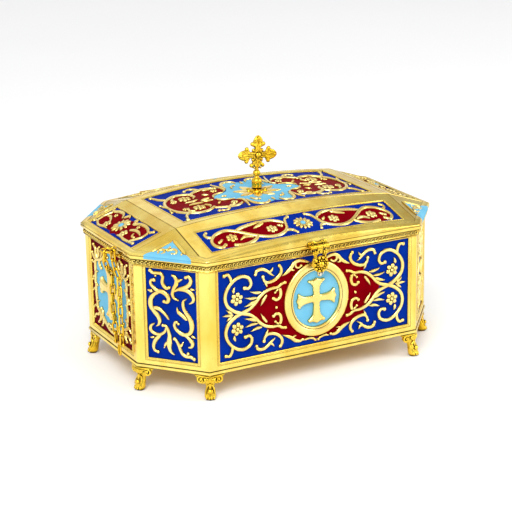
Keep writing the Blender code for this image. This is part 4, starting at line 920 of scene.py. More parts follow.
ROSETTE = ((-38.0, 0.0), (-37.0, -5.4), (-31.6, -9.4), (-25.0, -10.4), (-20.6, -13.4), (-19.0, -18.6),
           (-18.8, -25.0), (-16.4, -31.6), (-11.6, -35.4), (-6.0, -33.4), (0.0, -30.6))
CARTOUCHE = ((-38.0, 0.0), (-37.0, -5.4), (-31.6, -9.4), (-25.0, -10.4), (-21.2, -14.6), (-21.2, -20.4),
             (-24.6, -25.4), (-30.0, -27.6), (-36.0, -27.8), (-43.0, -25.6), (-48.4, -21.2), (-54.0, -24.6),
             (-62.0, -26.0), (-69.6, -21.4), (-75.0, -14.0), (-77.6, -6.0), (-77.8, 0.0))
CENTRE_STROKES = (
    (((-77.8, 0.4), (-77.5, -6.0), (-75.0, -14.0), (-69.6, -21.2), (-62.0, -25.8), (-54.0, -24.6),
      (-48.6, -20.6)), (2.0, 2.6, 2.8, 3.0, 2.8, 2.4), (0.0, 1.7)),
    (((-24.6, -12.0), (-21.0, -16.0), (-21.8, -24.0), (-24.4, -33.6)), (0.6, 2.4, 2.2, 1.0), (0.0, 0.8)),
    (((-49.4, -21.6), (-43.0, -25.6), (-35.6, -28.0), (-29.0, -26.8), (-24.6, -23.0)),
     (2.0, 2.6, 2.8, 2.4, 1.6)),
    (((-70.6, -21.0), (-74.6, -25.6), (-76.2, -30.2), (-77.8, -34.4)), (2.6, 2.4, 2.0, 1.6), (0.0, 1.7)),
    (((-38.6, -27.6), (-41.6, -32.6), (-45.8, -33.8), (-49.4, -31.6)), (2.4, 2.2, 1.8, 0.8), (0.0, 1.5)),
    (((-76.6, -3.0), (-79.4, -6.4), (-80.2, -10.6)), (2.2, 1.8, 0.8), (0.0, 1.3)),
    (((-37.6, -1.0), (-36.4, -5.6), (-31.4, -9.2), (-25.0, -10.2)), (0.6, 2.0, 1.6, 0.5)),
    (((-19.2, -17.0), (-18.8, -25.0), (-16.6, -31.6), (-11.8, -35.2), (-6.2, -33.0), (-4.6, -28.0)),
     (0.8, 2.6, 2.8, 2.6, 2.0, 0.8)),
    (((-14.4, -15.0), (-12.6, -20.6), (-9.4, -22.6)), (0.8, 2.2, 1.2), (0.0, 1.0)),
    (((-62.0, -3.6), (-56.0, -3.2), (-50.0, -5.0)), (0.6, 2.6, 0.6)),
    (((-40.6, -3.2), (-45.4, -2.4), (-50.0, -0.2)), (0.8, 2.8, 0.8)),
    (((-52.0, -10.0), (-49.0, -14.6), (-51.0, -19.6)), (1.0, 2.4, 0.8)),
    (((-64.0, -20.6), (-67.6, -16.6), (-66.4, -11.6)), (0.6, 2.4, 1.4), (0.0, 1.1)),
)
STRIP_RED = (((-77.0, -76.0), (-76.6, -80.0), (-73.0, -83.4), (-66.0, -85.0), (-56.0, -86.0), (-49.0, -85.0),
              (-43.6, -82.0), (-41.4, -79.4), (-46.0, -75.4), (-51.0, -71.0), (-56.0, -66.6), (-61.6, -64.2),
              (-68.0, -65.2), (-73.6, -68.4)),
             ((-54.4, -67.6), (-51.0, -71.0), (-46.0, -75.4), (-40.0, -80.0), (-33.0, -83.4), (-26.0, -84.0),
              (-19.6, -81.4), (-15.2, -77.0), (-13.6, -71.0), (-17.0, -67.0), (-23.0, -63.8), (-30.0, -63.0),
              (-40.0, -64.2), (-48.0, -65.4)))
STRIP_STROKES = (
    (((-69.6, -81.0), (-73.4, -83.0), (-77.0, -79.2), (-77.2, -73.6), (-73.6, -68.2), (-68.0, -65.0),
      (-61.6, -64.2), (-56.2, -66.6), (-51.0, -71.0), (-46.0, -75.6), (-40.0, -80.2), (-33.0, -83.6),
      (-26.0, -84.0), (-19.6, -81.4), (-15.4, -77.0), (-13.2, -71.0), (-11.2, -66.0), (-7.6, -63.4)),
     (2.4, 2.6, 2.4, 2.6, 2.6, 2.6, 2.4, 1.8), (1.5, 1.4)),
    (((-62.6, -84.0), (-56.0, -86.0), (-49.0, -85.0), (-43.6, -82.0), (-41.0, -79.0)), (2.0, 2.6, 2.6, 2.0),
     (1.5, 0.0)),
    (((-54.6, -67.6), (-48.0, -65.0), (-40.0, -63.8), (-32.4, -63.0), (-30.2, -64.6), (-34.0, -66.8),
      (-40.0, -69.4)), (1.8, 2.6, 2.6, 2.4, 2.4, 2.6, 0.6)),
    (((-30.6, -63.0), (-23.4, -63.6), (-17.4, -66.8), (-14.0, -70.6)), (1.6, 2.4, 2.4, 2.0)),
    (((-17.4, -79.6), (-12.6, -80.8), (-10.4, -85.0)), (2.0, 2.2, 1.4), (0.0, 1.2)),
    (((-74.4, -69.0), (-77.6, -66.8), (-78.6, -63.4), (-76.4, -61.6)), (2.4, 2.2, 1.8), (0.0, 1.3)),
    (((-44.6, -79.8), (-51.0, -77.0), (-56.6, -80.0)), (0.8, 2.4, 0.8)),
    (((-72.6, -76.6), (-68.4, -74.0)), (2.0, 1.4), (1.2, 0.0)),
    (((-21.0, -71.4), (-18.0, -73.6)), (1.2, 1.8), (0.0, 1.1)),
)


def end_reading(x, y, sx):
    """A reading along and across an end strip, as a place on the lid."""
    return ((129.0 - y) * sx, 43.0 - 1.045 * x if sx < 0 else 40.6 - 1.045 * x)


END_RED = ((4.0, 20.0), (8.0, 22.4), (14.0, 23.6), (20.0, 22.2), (23.6, 19.6), (27.0, 24.4), (32.0, 22.0),
           (36.0, 22.0), (41.0, 24.6), (43.6, 20.2), (48.0, 22.6), (56.0, 23.6), (64.0, 22.4), (69.0, 19.6),
           (70.4, 14.0), (67.4, 8.0), (65.6, 4.6), (57.0, 4.2), (50.0, 5.4), (45.0, 4.4), (40.0, 5.0),
           (36.0, 2.6), (32.0, 5.0), (27.0, 4.8), (20.0, 5.4), (13.0, 3.6), (8.0, 4.6), (4.0, 8.0),
           (3.0, 14.0))
END_SCROLLS = (
    (((1.6, 22.6), (5.0, 20.8), (10.0, 23.2), (16.0, 23.8), (21.0, 21.8), (24.0, 19.2)),
     (1.6, 2.2, 2.6, 2.4, 1.4), (1.5, 0.0)),
    (((24.0, 20.4), (27.0, 24.6), (30.0, 22.6)), (1.4, 2.2, 1.0)),
    (((39.0, 22.6), (41.4, 24.8), (43.4, 20.2), (48.0, 22.8), (56.0, 23.8), (64.0, 22.4), (69.0, 20.4),
      (72.4, 23.0)), (1.2, 2.2, 2.2, 2.6, 2.6, 2.4, 1.8), (0.0, 1.5)),
    (((1.4, 5.2), (4.6, 6.6), (10.0, 4.4), (14.0, 3.6), (20.0, 5.0), (26.0, 5.0)), (1.6, 2.2, 2.0, 2.0, 0.8),
     (1.4, 0.0)),
    (((4.6, 7.0), (3.2, 13.0), (5.2, 20.0)), (2.0, 2.2, 1.8)),
    (((69.4, 20.0), (70.6, 14.0), (67.2, 8.2), (66.0, 5.2), (72.0, 5.6)), (1.8, 2.2, 2.2, 2.0, 1.2),
     (0.0, 1.5)),
    (((66.0, 4.8), (58.0, 4.4), (51.0, 5.2), (45.0, 4.4)), (1.8, 2.2, 2.0, 0.8)),
    (((6.0, 14.6), (10.0, 15.6), (15.0, 13.6), (20.0, 10.6)), (1.0, 2.2, 2.0, 0.8)),
    (((49.0, 13.6), (54.0, 16.2), (60.0, 16.2), (66.6, 14.4)), (1.0, 2.2, 2.2, 1.0)),
    (((58.0, 13.4), (60.4, 10.6), (64.4, 10.2)), (1.6, 2.0, 1.4), (0.0, 1.0)),
)


def lid_regions(kind, outline):
    """The coloured regions of a panel of the lid."""
    if kind == "centre":
        sky = [(x * sx, y * sy) for sx, sy, order in ((1, 1, 1), (-1, 1, -1), (-1, -1, 1), (1, -1, -1))
               for x, y in ROSETTE[::order]]
        reds = []
        for sx in (1, -1):
            half = [(x * sx, y) for x, y in CARTOUCHE]
            reds.append((half + [(x, -y) for x, y in half[::-1][1:-1]], RED))
        return reds + [(dedupe(sky), SKY)]
    if kind == "strip":
        sy = 1 if outline[0][1] < 0.0 else -1
        return [([(x * sx, y * sy) for x, y in red], RED) for red in STRIP_RED for sx in (1, -1)]
    sx = 1 if outline[0][0] > 0.0 else -1
    return [([end_reading(x, y, sx) for x, y in END_RED], RED)]


def dedupe(outline):
    """An outline without points that repeat the one before."""
    return [p for p, q in zip(outline, outline[-1:] + outline[:-1]) if math.dist(p, q) > 0.01]


def lid_ornament(skin):
    """The strokes, leaves and flowers on the lid, and the boss under the cross."""
    for sx in (1, -1):
        for sy in (1, -1):
            def turned(points):
                return [(x * sx, y * sy) for x, y in points]

            strokes(skin, CENTRE_STROKES + STRIP_STROKES, turned, lid_place, UP, LID_RELIEF)
            for x, y, radius, petals in ((-57.8, -13.6, 5.2, 6), (-68.6, -11.0, 2.4, 5),
                                         (-29.6, -18.4, 3.0, 5),
                                         (-61.0, -74.6, 4.6, 6), (-27.0, -74.6, 4.5, 6)):
                flower(skin, (x * sx, y * sy), radius, petals, lid_place, UP, LID_RELIEF)
            for a, b, width in (((-37.0, -24.6), (-30.6, -23.6), 2.0), ((-42.0, -14.6), (-37.6, -10.6), 2.2)):
                leaf(skin, *turned((a, b)), width, lid_place, UP, height=LID_RELIEF)
            corner_scrolls(skin, sx, sy)
            corner_mouldings(skin, sx, sy)
        strokes(skin, END_SCROLLS, lambda p: [end_reading(x, y, sx) for x, y in p], lid_place, UP, LID_RELIEF)
        flower(skin, end_reading(34.0, 13.6, sx), 8.0, 11, lid_place, UP, LID_RELIEF * 1.2, eye=SKY)
        for x, y, radius in ((18.6, 8.6, 3.6), (48.4, 8.8, 3.8), (14.0, 18.6, 1.8), (52.6, 19.4, 1.8)):
            flower(skin, end_reading(x, y, sx), radius, 5, lid_place, UP, LID_RELIEF)
        leaf(skin, (27.0 * sx, 0.0), (32.0 * sx, 0.0), 2.4, lid_place, UP, height=LID_RELIEF)
        leaf(skin, (0.0, 24.0 * sx), (0.0, 31.0 * sx), 2.2, lid_place, UP, height=LID_RELIEF)
        flower(skin, (0.0, -74.6 * sx), 7.6, 12, lid_place, UP, LID_RELIEF * 1.2, eye=SKY)
    for a, b in zip(turns(8, 0.5), turns(8)):
        c, s = math.cos(a), math.sin(a)
        stroke(skin, [(4.0 * c, 4.0 * s), (11.0 * c, 10.6 * s), (19.6 * c, 18.0 * s)], (5.0, 7.2, 6.0, 0.5),
               lid_place, UP, LID_RELIEF * 0.8)
        dome(skin, (6.6 * math.cos(b), 6.6 * math.sin(b)), 2.6, 1.7, b, LID_RECESS + 1.3, lid_place, UP, CAST,
             10)
    skin.rows([[lid_place(radius * math.cos(a), radius * math.sin(a), h) for a in turns(32)]
               for radius, h in ((7.2, 0.0), (7.0, 1.2), (6.0, 2.1), (4.8, 2.5), (0.4, 2.8))], CAST, UP)


def corner_scrolls(skin, sx, sy):
    """Small scrolls on a corner triangle."""
    def place(u, v, h):
        x, y = (u - 1.0) * sx, (v + 1.4) * sy
        return Vector((x, y, crown(x, y) - 0.1 + h))

    strokes(skin, (
        (((117.4, 60.6), (115.0, 57.8), (112.2, 59.4), (112.8, 62.4), (115.4, 63.0)), (1.6, 1.8, 1.4),
         (1.0, 0.9)),
        (((110.0, 63.0), (106.4, 64.6), (105.4, 68.0), (107.6, 70.0), (109.6, 68.2)), (1.4, 1.8, 1.4),
         (0.9, 1.0)),
        (((112.0, 60.6), (109.6, 61.6), (107.4, 61.0)), (1.4, 1.6, 0.8), (0.0, 0.9)),
        (((104.4, 74.0), (105.4, 76.4)), (1.4, 1.0), (0.9, 0.0)),
    ), list, place, UP, 0.9)


def corner_mouldings(skin, sx, sy):
    """Raised edges along the two straight sides of a corner triangle."""
    apex, *ends = [Vector(p) for p in triangle(1, 1)]

    def place(u, v, h):
        x, y = u * sx, v * sy
        return Vector((x, y, crown(x, y) + h))

    for end in ends:
        stroke(skin, (apex, (apex + end) / 2, end), (2.2, 2.4, 2.4), place, UP, 0.9, BAND, pitch=2.0)


# Cast pieces

def tube(skin, points, radii, material=CAST, sides=10, closed=False):
    """A round wire along points in space; radii are spread evenly over its length."""
    p = [Vector(v) for v in points]
    count = len(p)
    spots = np.linspace(0.0, count - 1.0, len(radii))
    guide, rows = UP, []
    for k in range(count):
        a, b = (p[k - 1], p[(k + 1) % count]) if closed else (p[max(0, k - 1)], p[min(count - 1, k + 1)])
        along = (b - a).normalized()
        for axis in (guide, X, Y):
            side = axis - along * axis.dot(along)
            if side.length >= 0.1:
                break
        guide = side.normalized()
        r = float(np.interp(k, spots, radii))
        rows.append(ring(p[k], r, r, guide, along.cross(guide), sides))
    skin.rows(rows, material, first=not closed, last=not closed, ends=closed)


def horn(skin, points, radii, material=CAST, sides=10, pitch=0.6):
    """A rounded wire through a few points."""
    tube(skin, smooth(points, pitch), radii, material, sides)


def ball(skin, centre, reach, material=CAST, axes=None, sides=12):
    """A round or oval bead; reach is one radius or three, along the axes given."""
    r = (reach,) * 3 if isinstance(reach, float) else reach
    a, b, c = axes or (X, Y, UP)
    rows = []
    for t in (math.pi * (k / 8.0 - 0.5) for k in range(1, 8)):
        middle = Vector(centre) + c * (r[2] * math.sin(t))
        rows.append(ring(middle, r[0] * math.cos(t), r[1] * math.cos(t), a, b, sides))
    skin.rows(rows, material, first=True, last=True)


def lathe(skin, profile, material=CAST, sides=40):
    """A turned piece round the upright middle of the lid."""
    rows = [ring(UP * z, radius, radius, X, Y, sides) for radius, z in profile]
    skin.rows(rows, material, first=True, last=True)


# Share of a foot's height, outward place of its middle, half breadth and half depth
FOOT_RINGS = ((1.0, -5.75, 6.6, 4.6), (0.78, -5.5, 5.2, 4.1), (0.52, -4.6, 3.1, 2.9), (0.30, -2.8, 4.2, 3.9),
              (0.12, -2.06, 4.5, 4.1), (0.0, -1.93, 3.5, 3.0))
FOOT_TALL = 19.2
FOOT_LEAF = [(-0.2, 0.0), (13.4, 0.0), (13.0, -1.2), (11.2, -2.6), (11.3, -4.4), (10.0, -6.4), (7.4, -7.6),
             (5.0, -7.0), (3.6, -5.6), (2.4, -6.4), (0.4, -8.4), (-0.2, -8.6)]
FOOT_VEINS = (
    (((0.6, -1.2), (4.0, -1.3), (8.0, -1.0), (12.8, -0.7)), (1.0, 1.7, 1.5, 0.6)),
    (((1.0, -3.2), (3.4, -3.0), (5.4, -2.6)), (0.8, 1.7, 0.9)),
    (((0.8, -5.2), (2.8, -4.8), (4.6, -4.4)), (0.7, 1.6, 0.8)),
)


def foot(index):
    """A cast paw foot under corner index of the outline, with a leaf under each wall."""
    before, after = sides()[index - 1], sides()[index]
    corner = after[1]
    out = (before[3] + after[3]).normalized()
    across = Vector((-out.y, out.x, 0.0))
    axes = (out, across, UP)
    skin = Skin()

    def at(o, a, z):
        return corner + out * o + across * a + UP * z

    shares, *reaches = zip(*FOOT_RINGS[::-1])
    rows = []
    for share in np.linspace(1.0, 0.0, 25):
        middle, wide, deep = (float(np.interp(share, shares, reach)) for reach in reaches)
        paw, stem = max(0.0, 1.0 - share / 0.36), max(0.0, min(1.0, (share - 0.34) / 0.2))
        row = []
        for t in turns(28):
            toes = 0.11 * paw * max(0.0, math.cos(t)) * math.cos(7.0 * t)
            grow = 1.0 + toes + 0.07 * stem * math.cos(6.0 * t)
            row.append(at(middle + deep * grow * math.cos(t), wide * grow * math.sin(t),
                          -GAP - FOOT_TALL * (1.0 - share)))
        rows.append(row)
    skin.rows(rows, CAST, first=True, last=True)
    for a in (-2.7, -0.95, 0.95, 2.7):
        o = 1.9 - 0.16 * a * a
        ball(skin, at(o - 0.8, a, -17.2), (1.5, 1.0, 1.5), CAST, axes, 10)
        ball(skin, at(o + 0.1, a, -18.1), (0.9, 0.8, 0.9), CAST, axes, 8)
    ball(skin, at(0.9, 0.0, -12.6), (1.3, 2.2, 1.8), CAST, axes)
    horn(skin, [at(-1.2, 0.0, -6.6), at(-1.5, 0.0, -9.0), at(-0.4, 0.0, -11.4)], (1.0, 1.4, 0.7))
    for s in (-1, 1):
        horn(skin, [at(-1.0, 0.6 * s, -7.4), at(-1.9, 2.1 * s, -9.6), at(-0.6, 3.0 * s, -12.6),
                    at(0.4, 3.3 * s, -14.6)], (0.5, 0.9, 0.7, 0.4))
        for a, z in ((1.1, -2.0), (2.7, -2.3), (4.3, -2.9)):
            horn(skin, [at(-1.5, 0.3 * s, -7.6), at(-1.3, 0.6 * a * s, -5.0), at(-1.7, a * s, z)],
                 (0.35, 0.7, 0.85, 0.4))
    horn(skin, [at(-1.4, 0.0, -7.4), at(-1.0, 0.0, -4.6), at(-1.2, 0.0, -1.6)], (0.35, 0.75, 0.9, 0.4))
    for wall, s in ((after, 1), (before, -1)):
        along, normal = wall[2] * s, wall[3]

        def place(u, v, h):
            return corner + along * u + normal * (h - 0.9) + UP * (v - GAP)

        outline = counter(FOOT_LEAF)
        skin.rows([[place(u, v, h) for u, v in outline] for h in (0.0, -1.5)], CAST, first=True, last=True)
        spiral = (curl((8.0, -4.3), 150.0, -330.0, 3.0, 0.9, 12), (1.3, 1.7, 1.6, 1.3))
        for points, widths in (spiral,) + FOOT_VEINS:
            stroke(skin, points, widths, place, normal, 1.0, CAST, pitch=0.6)
        dome(skin, (8.0, -4.3), 1.0, 1.0, 0.0, 1.3, place, normal, CAST, 10)
    return skin.made("cast_foot_%d" % (index + 1), "casket", "foot_%d" % (index + 1), crease=60.0)


APEX = crown(0.0, 0.0)
SOCKET_Z = APEX + 1.9 + GAP
KNOP_Z = SOCKET_Z + 6.8 + 5.1
CROSS_Z = APEX + 28.7
LEAN = math.radians(4.0)


def finial():
    """The cross finial: socket, knop and a cast cross of leaves, buds and beads."""
    skin = Skin()
    z = SOCKET_Z
    lathe(skin, ((3.7, z), (4.15, z + 0.25), (4.2, z + 0.7), (4.0, z + 1.1), (4.1, z + 1.5), (4.15, z + 5.8),
                 (4.0, z + 6.5), (3.5, z + 7.2), (2.4, z + 8.1), (1.75, z + 8.8), (1.7, z + 9.6),
                 (2.2, z + 9.9), (1.8, z + 10.3)))
    ball(skin, (0.0, 0.0, KNOP_Z), (3.1, 3.1, 2.8))
    c, s, down = math.cos(LEAN), math.sin(LEAN), CROSS_Z - KNOP_Z

    def at(a, b, h=0.0):
        return Vector((a * c + (b + down) * s, -h, KNOP_Z - a * s + (b + down) * c))

    spread = (at(1.0, 0.0) - at(0.0, 0.0), at(0.0, 0.0, 1.0) - at(0.0, 0.0), at(0.0, 1.0) - at(0.0, 0.0))
    shape = []
    for (cx, cz), reach in (((1, 0), 16.8), ((0, 1), 15.2), ((-1, 0), 16.8), ((0, -1), 10.4)):
        tip = ((0.9, 1.8), (1.0, 0.0)) if cz >= 0 else ((0.98, 1.6),)
        half = ((0.17, 2.9), (0.4, 2.6), (0.56, 4.6), (0.72, 3.6)) + tip
        run = [(a * reach, -b) for a, b in half] + [(a * reach, b) for a, b in half[::-1] if b]
        shape += [(cx * a - cz * b, cz * a + cx * b) for a, b in run]
    for sign in (1.0, -1.0):
        slab(skin, counter(shape), 1.2, 0.5, lambda a, b, h: at(a, b, sign * h), (0.0, -sign, 0.0), CAST)
    horn(skin, [at(0.0, -down + 1.6), at(0.0, -down + 4.0), at(0.0, -8.0)], (1.9, 1.5, 1.7))
    for (cx, cz), reach in (((1, 0), 17.4), ((0, 1), 15.8), ((-1, 0), 17.4), ((0, -1), 10.6)):
        def arm(a, b, h=0.0):
            return at(cx * a - cz * b, cz * a + cx * b, h)

        stem, bud, wide = reach * 0.45, reach * (0.56 if cz >= 0 else 0.8), 5.0
        horn(skin, [arm(2.6, 0.0), arm(stem, 0.0), arm(reach * 0.7, 0.0)], (1.5, 1.6, 1.4))
        for b in (-1, 1):
            for h in (0.5, -0.5):
                horn(skin, [arm(2.0, 1.3 * b, h), arm(stem, 1.5 * b, 1.2 * h),
                            arm(stem + 2.2, 2.8 * b, 0.8 * h)],
                     (0.9, 1.1, 0.9))
                ball(skin, arm(bud + 1.8, (wide - 2.2) * b, 2.2 * h), 0.85, sides=8)
            horn(skin, [arm(bud - 2.4, 1.2 * b), arm(bud - 1.0, 3.4 * b), arm(bud, wide * b)],
                 (1.3, 1.4, 1.6))
            ball(skin, arm(bud, wide * b), 1.7)
            if cz >= 0:
                horn(skin, [arm(bud + 0.4, (wide - 1.4) * b), arm(reach - 2.6, 2.1 * b),
                            arm(reach - 0.4, 0.1 * b)],
                     (1.3, 1.25, 0.7))
                horn(skin, [arm(bud, 0.0, b), arm(reach - 2.6, 0.0, 1.3 * b), arm(reach - 0.6, 0.0, 0.3 * b)],
                     (0.5, 1.0, 0.6))
    ball(skin, at(0.0, 13.6, 1.2), 1.3)
    for a, b in ((-3.9, 3.9), (3.9, 3.9), (-3.9, -3.9), (3.9, -3.9)):
        horn(skin, [at(a * 0.3, b * 0.3), at(a, b)], (1.3, 1.0))
        ball(skin, at(a, b), 1.35, sides=10)
    for h in (1.3, -1.3):
        ball(skin, at(0.0, 0.0, h), (2.5, 1.9, 2.5), CAST, spread)
        for t in turns(8, 0.5):
            ball(skin, at(3.6 * math.cos(t), 3.6 * math.sin(t), h), 0.95, sides=8)
    return skin.made("cast_finial", "lid", "finial_cross", crease=60.0)


HASP_Y, HASP_Z, ROSETTE_V = -99.7, 88.18, -13.4


def barrel(skin, profile, side=1):
    """A hollow-ended knuckle along the hasp's axis, from distances along it and radii."""
    skin.rows([ring(Vector((x * side, HASP_Y, HASP_Z)), r, r, Y, UP, 20) for x, r in profile],
              CAST, ends=True)


def hasp_mount():
    """The plate on the lid's rim with two knuckles and two rosettes."""
    skin = Skin()
    front, back = -97.55, -96.55

    def place(u, v, h):
        return Vector((u, front + 0.3 - h, v))

    outline = counter([(-8.0, 87.3), (8.0, 87.3), (8.0, 91.2), (7.0, 92.1), (3.2, 92.1), (2.6, 91.3),
                       (-2.6, 91.3), (-3.2, 92.1), (-7.0, 92.1), (-8.0, 91.2)])
    skin.rows([[Vector((u, y, v)) for u, v in edge] for y, edge in
               ((back, outline), (front + 0.2, outline), (front, inset(outline, 0.25)))],
              CAST, first=True, last=True)
    for s in (-1, 1):
        barrel(skin, ((2.85, 0.88), (2.85, 1.6), (3.1, 1.8), (4.0, 1.8), (4.2, 1.6), (4.5, 1.6), (4.7, 1.8),
                      (6.2, 1.8),
                      (6.4, 1.6), (6.7, 1.6), (6.9, 1.8), (7.7, 1.8), (7.95, 1.5), (7.95, 0.825)), s)
        web = [Vector((x, y, z))
               for x in sorted((3.0 * s, 7.9 * s)) for y in (-99.0, -97.4) for z in (88.5, 89.5)]
        skin.put(web, [(0, 1, 3, 2), (4, 6, 7, 5), (0, 4, 5, 1), (2, 3, 7, 6), (0, 2, 6, 4), (1, 5, 7, 3)],
                 CAST)
        for t in turns(5, 0.25):
            dome(skin, (5.4 * s + 1.45 * math.cos(t), 90.5 + 1.2 * math.sin(t)), 0.9, 0.8, t, 1.3, place, -Y,
                 CAST, 8)
        dome(skin, (5.4 * s, 90.5), 0.8, 0.8, 0.0, 1.8, place, -Y, CAST, 8)
    return skin.made("cast_hasp_mount", "lid", "hasp_mount", crease=50.0)


def hasp():
    """The hasp, measured from its axis down, with a slot, a rosette and worn bright tips."""
    skin = Skin()
    front, back = HASP_Y - 0.9, HASP_Y + 0.9

    def place(u, v, h):
        return Vector((u, front - h, HASP_Z + v))

    def turned(u, v, h):
        return Vector((u, back + h, HASP_Z + v))

    half = [(2.4, 0.0), (2.4, -2.6), (4.6, -2.9), (5.6, -3.6), (5.0, -4.4), (5.0, -8.6), (5.8, -9.2),
            (6.4, -11.0),
            (6.7, -13.4), (6.0, -15.8), (4.4, -17.2), (2.9, -17.8), (2.2, -20.0), (2.3, -21.6), (1.3, -23.0),
            (0.0, -23.5)]
    outline = counter([(-u, v) for u, v in half] + half[-2::-1])
    slot = counter([(-2.4, -5.3), (2.4, -5.3), (2.4, -7.9), (-2.4, -7.9)])
    face, hole = inset(outline, 0.35), inset(slot, -0.3)
    tip = [p for p in face if p[1] < -17.0]
    for side, facing in ((place, -Y), (turned, Y)):
        for steps in (((outline, -0.9), (outline, -0.3), (face, 0.0)),
                      ((slot, -0.9), (slot, -0.25), (hole, 0.0))):
            skin.rows([[side(u, v, h) for u, v in edge] for edge, h in steps], CAST, facing)
        field(skin, face, [(counter(tip), STEEL)], CAST, side, facing, 0.0, [hole])
    barrel(skin, ((-2.4, 1.0), (-2.4, 1.6), (-2.1, 1.8), (-0.9, 1.8), (-0.7, 1.6), (0.7, 1.6), (0.9, 1.8),
                  (2.1, 1.8),
                  (2.4, 1.6), (2.4, 1.0)))
    for s in (-1, 1):
        for t in turns(6, 0.5):
            ball(skin, place(4.6 * s + 1.5 * math.cos(t), -4.4 + 1.3 * math.sin(t), 0.6), 0.85, sides=8)
        ball(skin, place(4.6 * s, -4.4, 1.0), 0.95, sides=8)
        horn(skin, [place(3.4 * s, -5.8, 0.3), place(4.2 * s, -7.0, 0.6), place(3.6 * s, -8.6, 0.4)],
             (0.5, 0.8, 0.6))
        for v in (-9.4, -17.2):
            ball(skin, place(4.9 * s, v, 0.3), 0.7, sides=8)
        horn(skin, [place(1.6 * s, -17.6, 0.4), place(2.1 * s, -19.6, 0.5), place(1.9 * s, -21.8, 0.2)],
             (0.8, 0.6, 0.4), STEEL)
    ball(skin, place(0.0, -4.0, 0.5), 0.9, sides=10)
    ball(skin, place(0.0, -21.6, 0.2), (1.2, 0.7, 1.6), STEEL)
    skin.rows([ring(place(0.0, ROSETTE_V, h), r, r, X, UP, 36) for r, h in
               ((6.4, -0.2), (6.6, 0.5), (6.2, 1.0), (4.0, 0.8), (2.9, 1.1), (2.5, 2.1), (1.8, 3.0),
                (0.3, 3.5))],
              CAST, -Y)
    for reach, rise, bead, sides_of, start in ((5.3, 1.3, 1.3, 10, 0.0), (3.4, 1.9, 0.75, 8, 0.5)):
        for t in turns(10, start):
            spot = place(reach * math.cos(t), ROSETTE_V + reach * math.sin(t), rise)
            ball(skin, spot, bead, sides=sides_of)
    return skin.made("cast_hasp", "hasp", "hasp", crease=50.0)


EYE = Vector((-136.3, -25.8, 88.3))
CHAIN_X = -135.4
RING_R, RING_WIRE, LINK_LONG, LINK_WIDE, LINK_WIRE, BITE = 5.2, 0.75, 10.6, 5.2, 0.8, 0.25


def loop(skin, centre, long, wide, wire, along, across, steps=28, section=8):
    """A closed oval of round wire."""
    end = 0.5 * wide - wire
    reach = 0.5 * long - wire - end
    points = []
    for a in (t + 0.001 for t in turns(steps)):
        lift = math.sin(a)
        points.append(centre + along * (lift * end + math.copysign(reach, lift))
                      + across * (math.cos(a) * end))
    tube(skin, points, (wire, wire), CAST, section, closed=True)


def ring_and_chain():
    """The eye on the end wall, the ring in it, and two strands that a bar joins, with a drop link."""
    hook, wall_x = Skin(), -131.5
    pad = [(-3.0, -4.7), (3.0, -4.7), (3.0, -1.3), (1.6, -1.1), (-1.6, -1.1), (-3.0, -1.3)]

    def place(u, v, h):
        return Vector((wall_x - 1.1 - h, EYE.y - u, TOP + v))

    hook.rows([[place(u, v, h) for u, v in pad] for h in (-1.1, 0.0, 0.3)], CAST, first=True, last=True)
    for s in (-1, 1):
        ball(hook, place(2.0 * s, -2.9, 0.2), 0.8, sides=8)
    horn(hook, [(wall_x - 0.8, EYE.y, 83.2), (EYE.x + 1.6, EYE.y, 83.2), (EYE.x, EYE.y, 84.0),
                (EYE.x, EYE.y, 85.9)], (0.8, 0.75, 0.7))
    loop(hook, EYE, 5.0, 5.0, 0.6, UP, X)
    hook.made("cast_chain_eye", "casket", "chain_eye", crease=60.0)
    hoop = Skin()
    centre = EYE - X * (RING_R + 0.2)
    size = 2.0 * (RING_R + RING_WIRE)
    loop(hoop, centre, size, size, RING_WIRE, Y, X, 48, 10)
    hoop.made("cast_chain_ring", "casket", "chain_ring", crease=60.0)
    skin, ends = Skin(), []
    for angle, shifts in ((225.0, (7.0, 8.6, 4.0)), (300.0, (-5.6, -5.6, -5.8))):
        a = math.radians(angle)
        radial = Vector((math.cos(a), math.sin(a), 0.0))
        top = centre + radial * RING_R + UP * (RING_WIRE + 0.15 + 0.5 * BITE)
        path = [top, top - UP * LINK_LONG]
        path += [Vector((CHAIN_X, EYE.y + shift, share * TOP)) for shift,
                 share in zip(shifts, (0.77, 0.47, 0.11))]
        ends.append(strand(skin, path, radial))
    middle = (ends[0] + ends[1]) * 0.5
    way = (ends[1] - ends[0]).normalized()
    tube(skin, [middle + way * t for t in (-8.4, -8.1, 0.0, 8.1, 8.4)], (0.9, 1.2, 1.2, 1.2, 0.9), sides=14)
    for t in (-8.0, -6.6, 6.6, 8.0):
        ball(skin, middle + way * t, 1.4 if abs(t) > 7.0 else 1.3)
    loop(skin, middle - UP * (0.5 * (LINK_LONG - LINK_WIRE)), LINK_LONG, LINK_WIDE, LINK_WIRE, UP, Y)
    skin.made("cast_chain", "casket", "chain", crease=60.0)


def strand(skin, path, radial):
    """Links along a path, each turned a quarter against the last, and the place where they end."""
    pitch = LINK_LONG - 4.0 * LINK_WIRE + BITE
    lengths = [0.0]
    for a, b in zip(path, path[1:]):
        lengths.append(lengths[-1] + (b - a).length)
    tangent = Vector((-radial.y, radial.x, 0.0))

    def at(distance):
        k = 1
        while k < len(path) - 1 and distance > lengths[k]:
            k += 1
        return path[k - 1].lerp(path[k], (distance - lengths[k - 1]) / (lengths[k] - lengths[k - 1]))

    count = int(lengths[-1] / pitch)
    for k in range(count):
        low, high = at(pitch * k), at(pitch * (k + 1))
        along = (high - low).normalized()
        side = tangent if k % 2 else radial
        across = (side - along * side.dot(along)).normalized()
        loop(skin, (low + high) * 0.5, LINK_LONG, LINK_WIDE, LINK_WIRE, along, across)
        if k:
            ball(skin, low, 1.25, sides=10)
    return at(pitch * count)


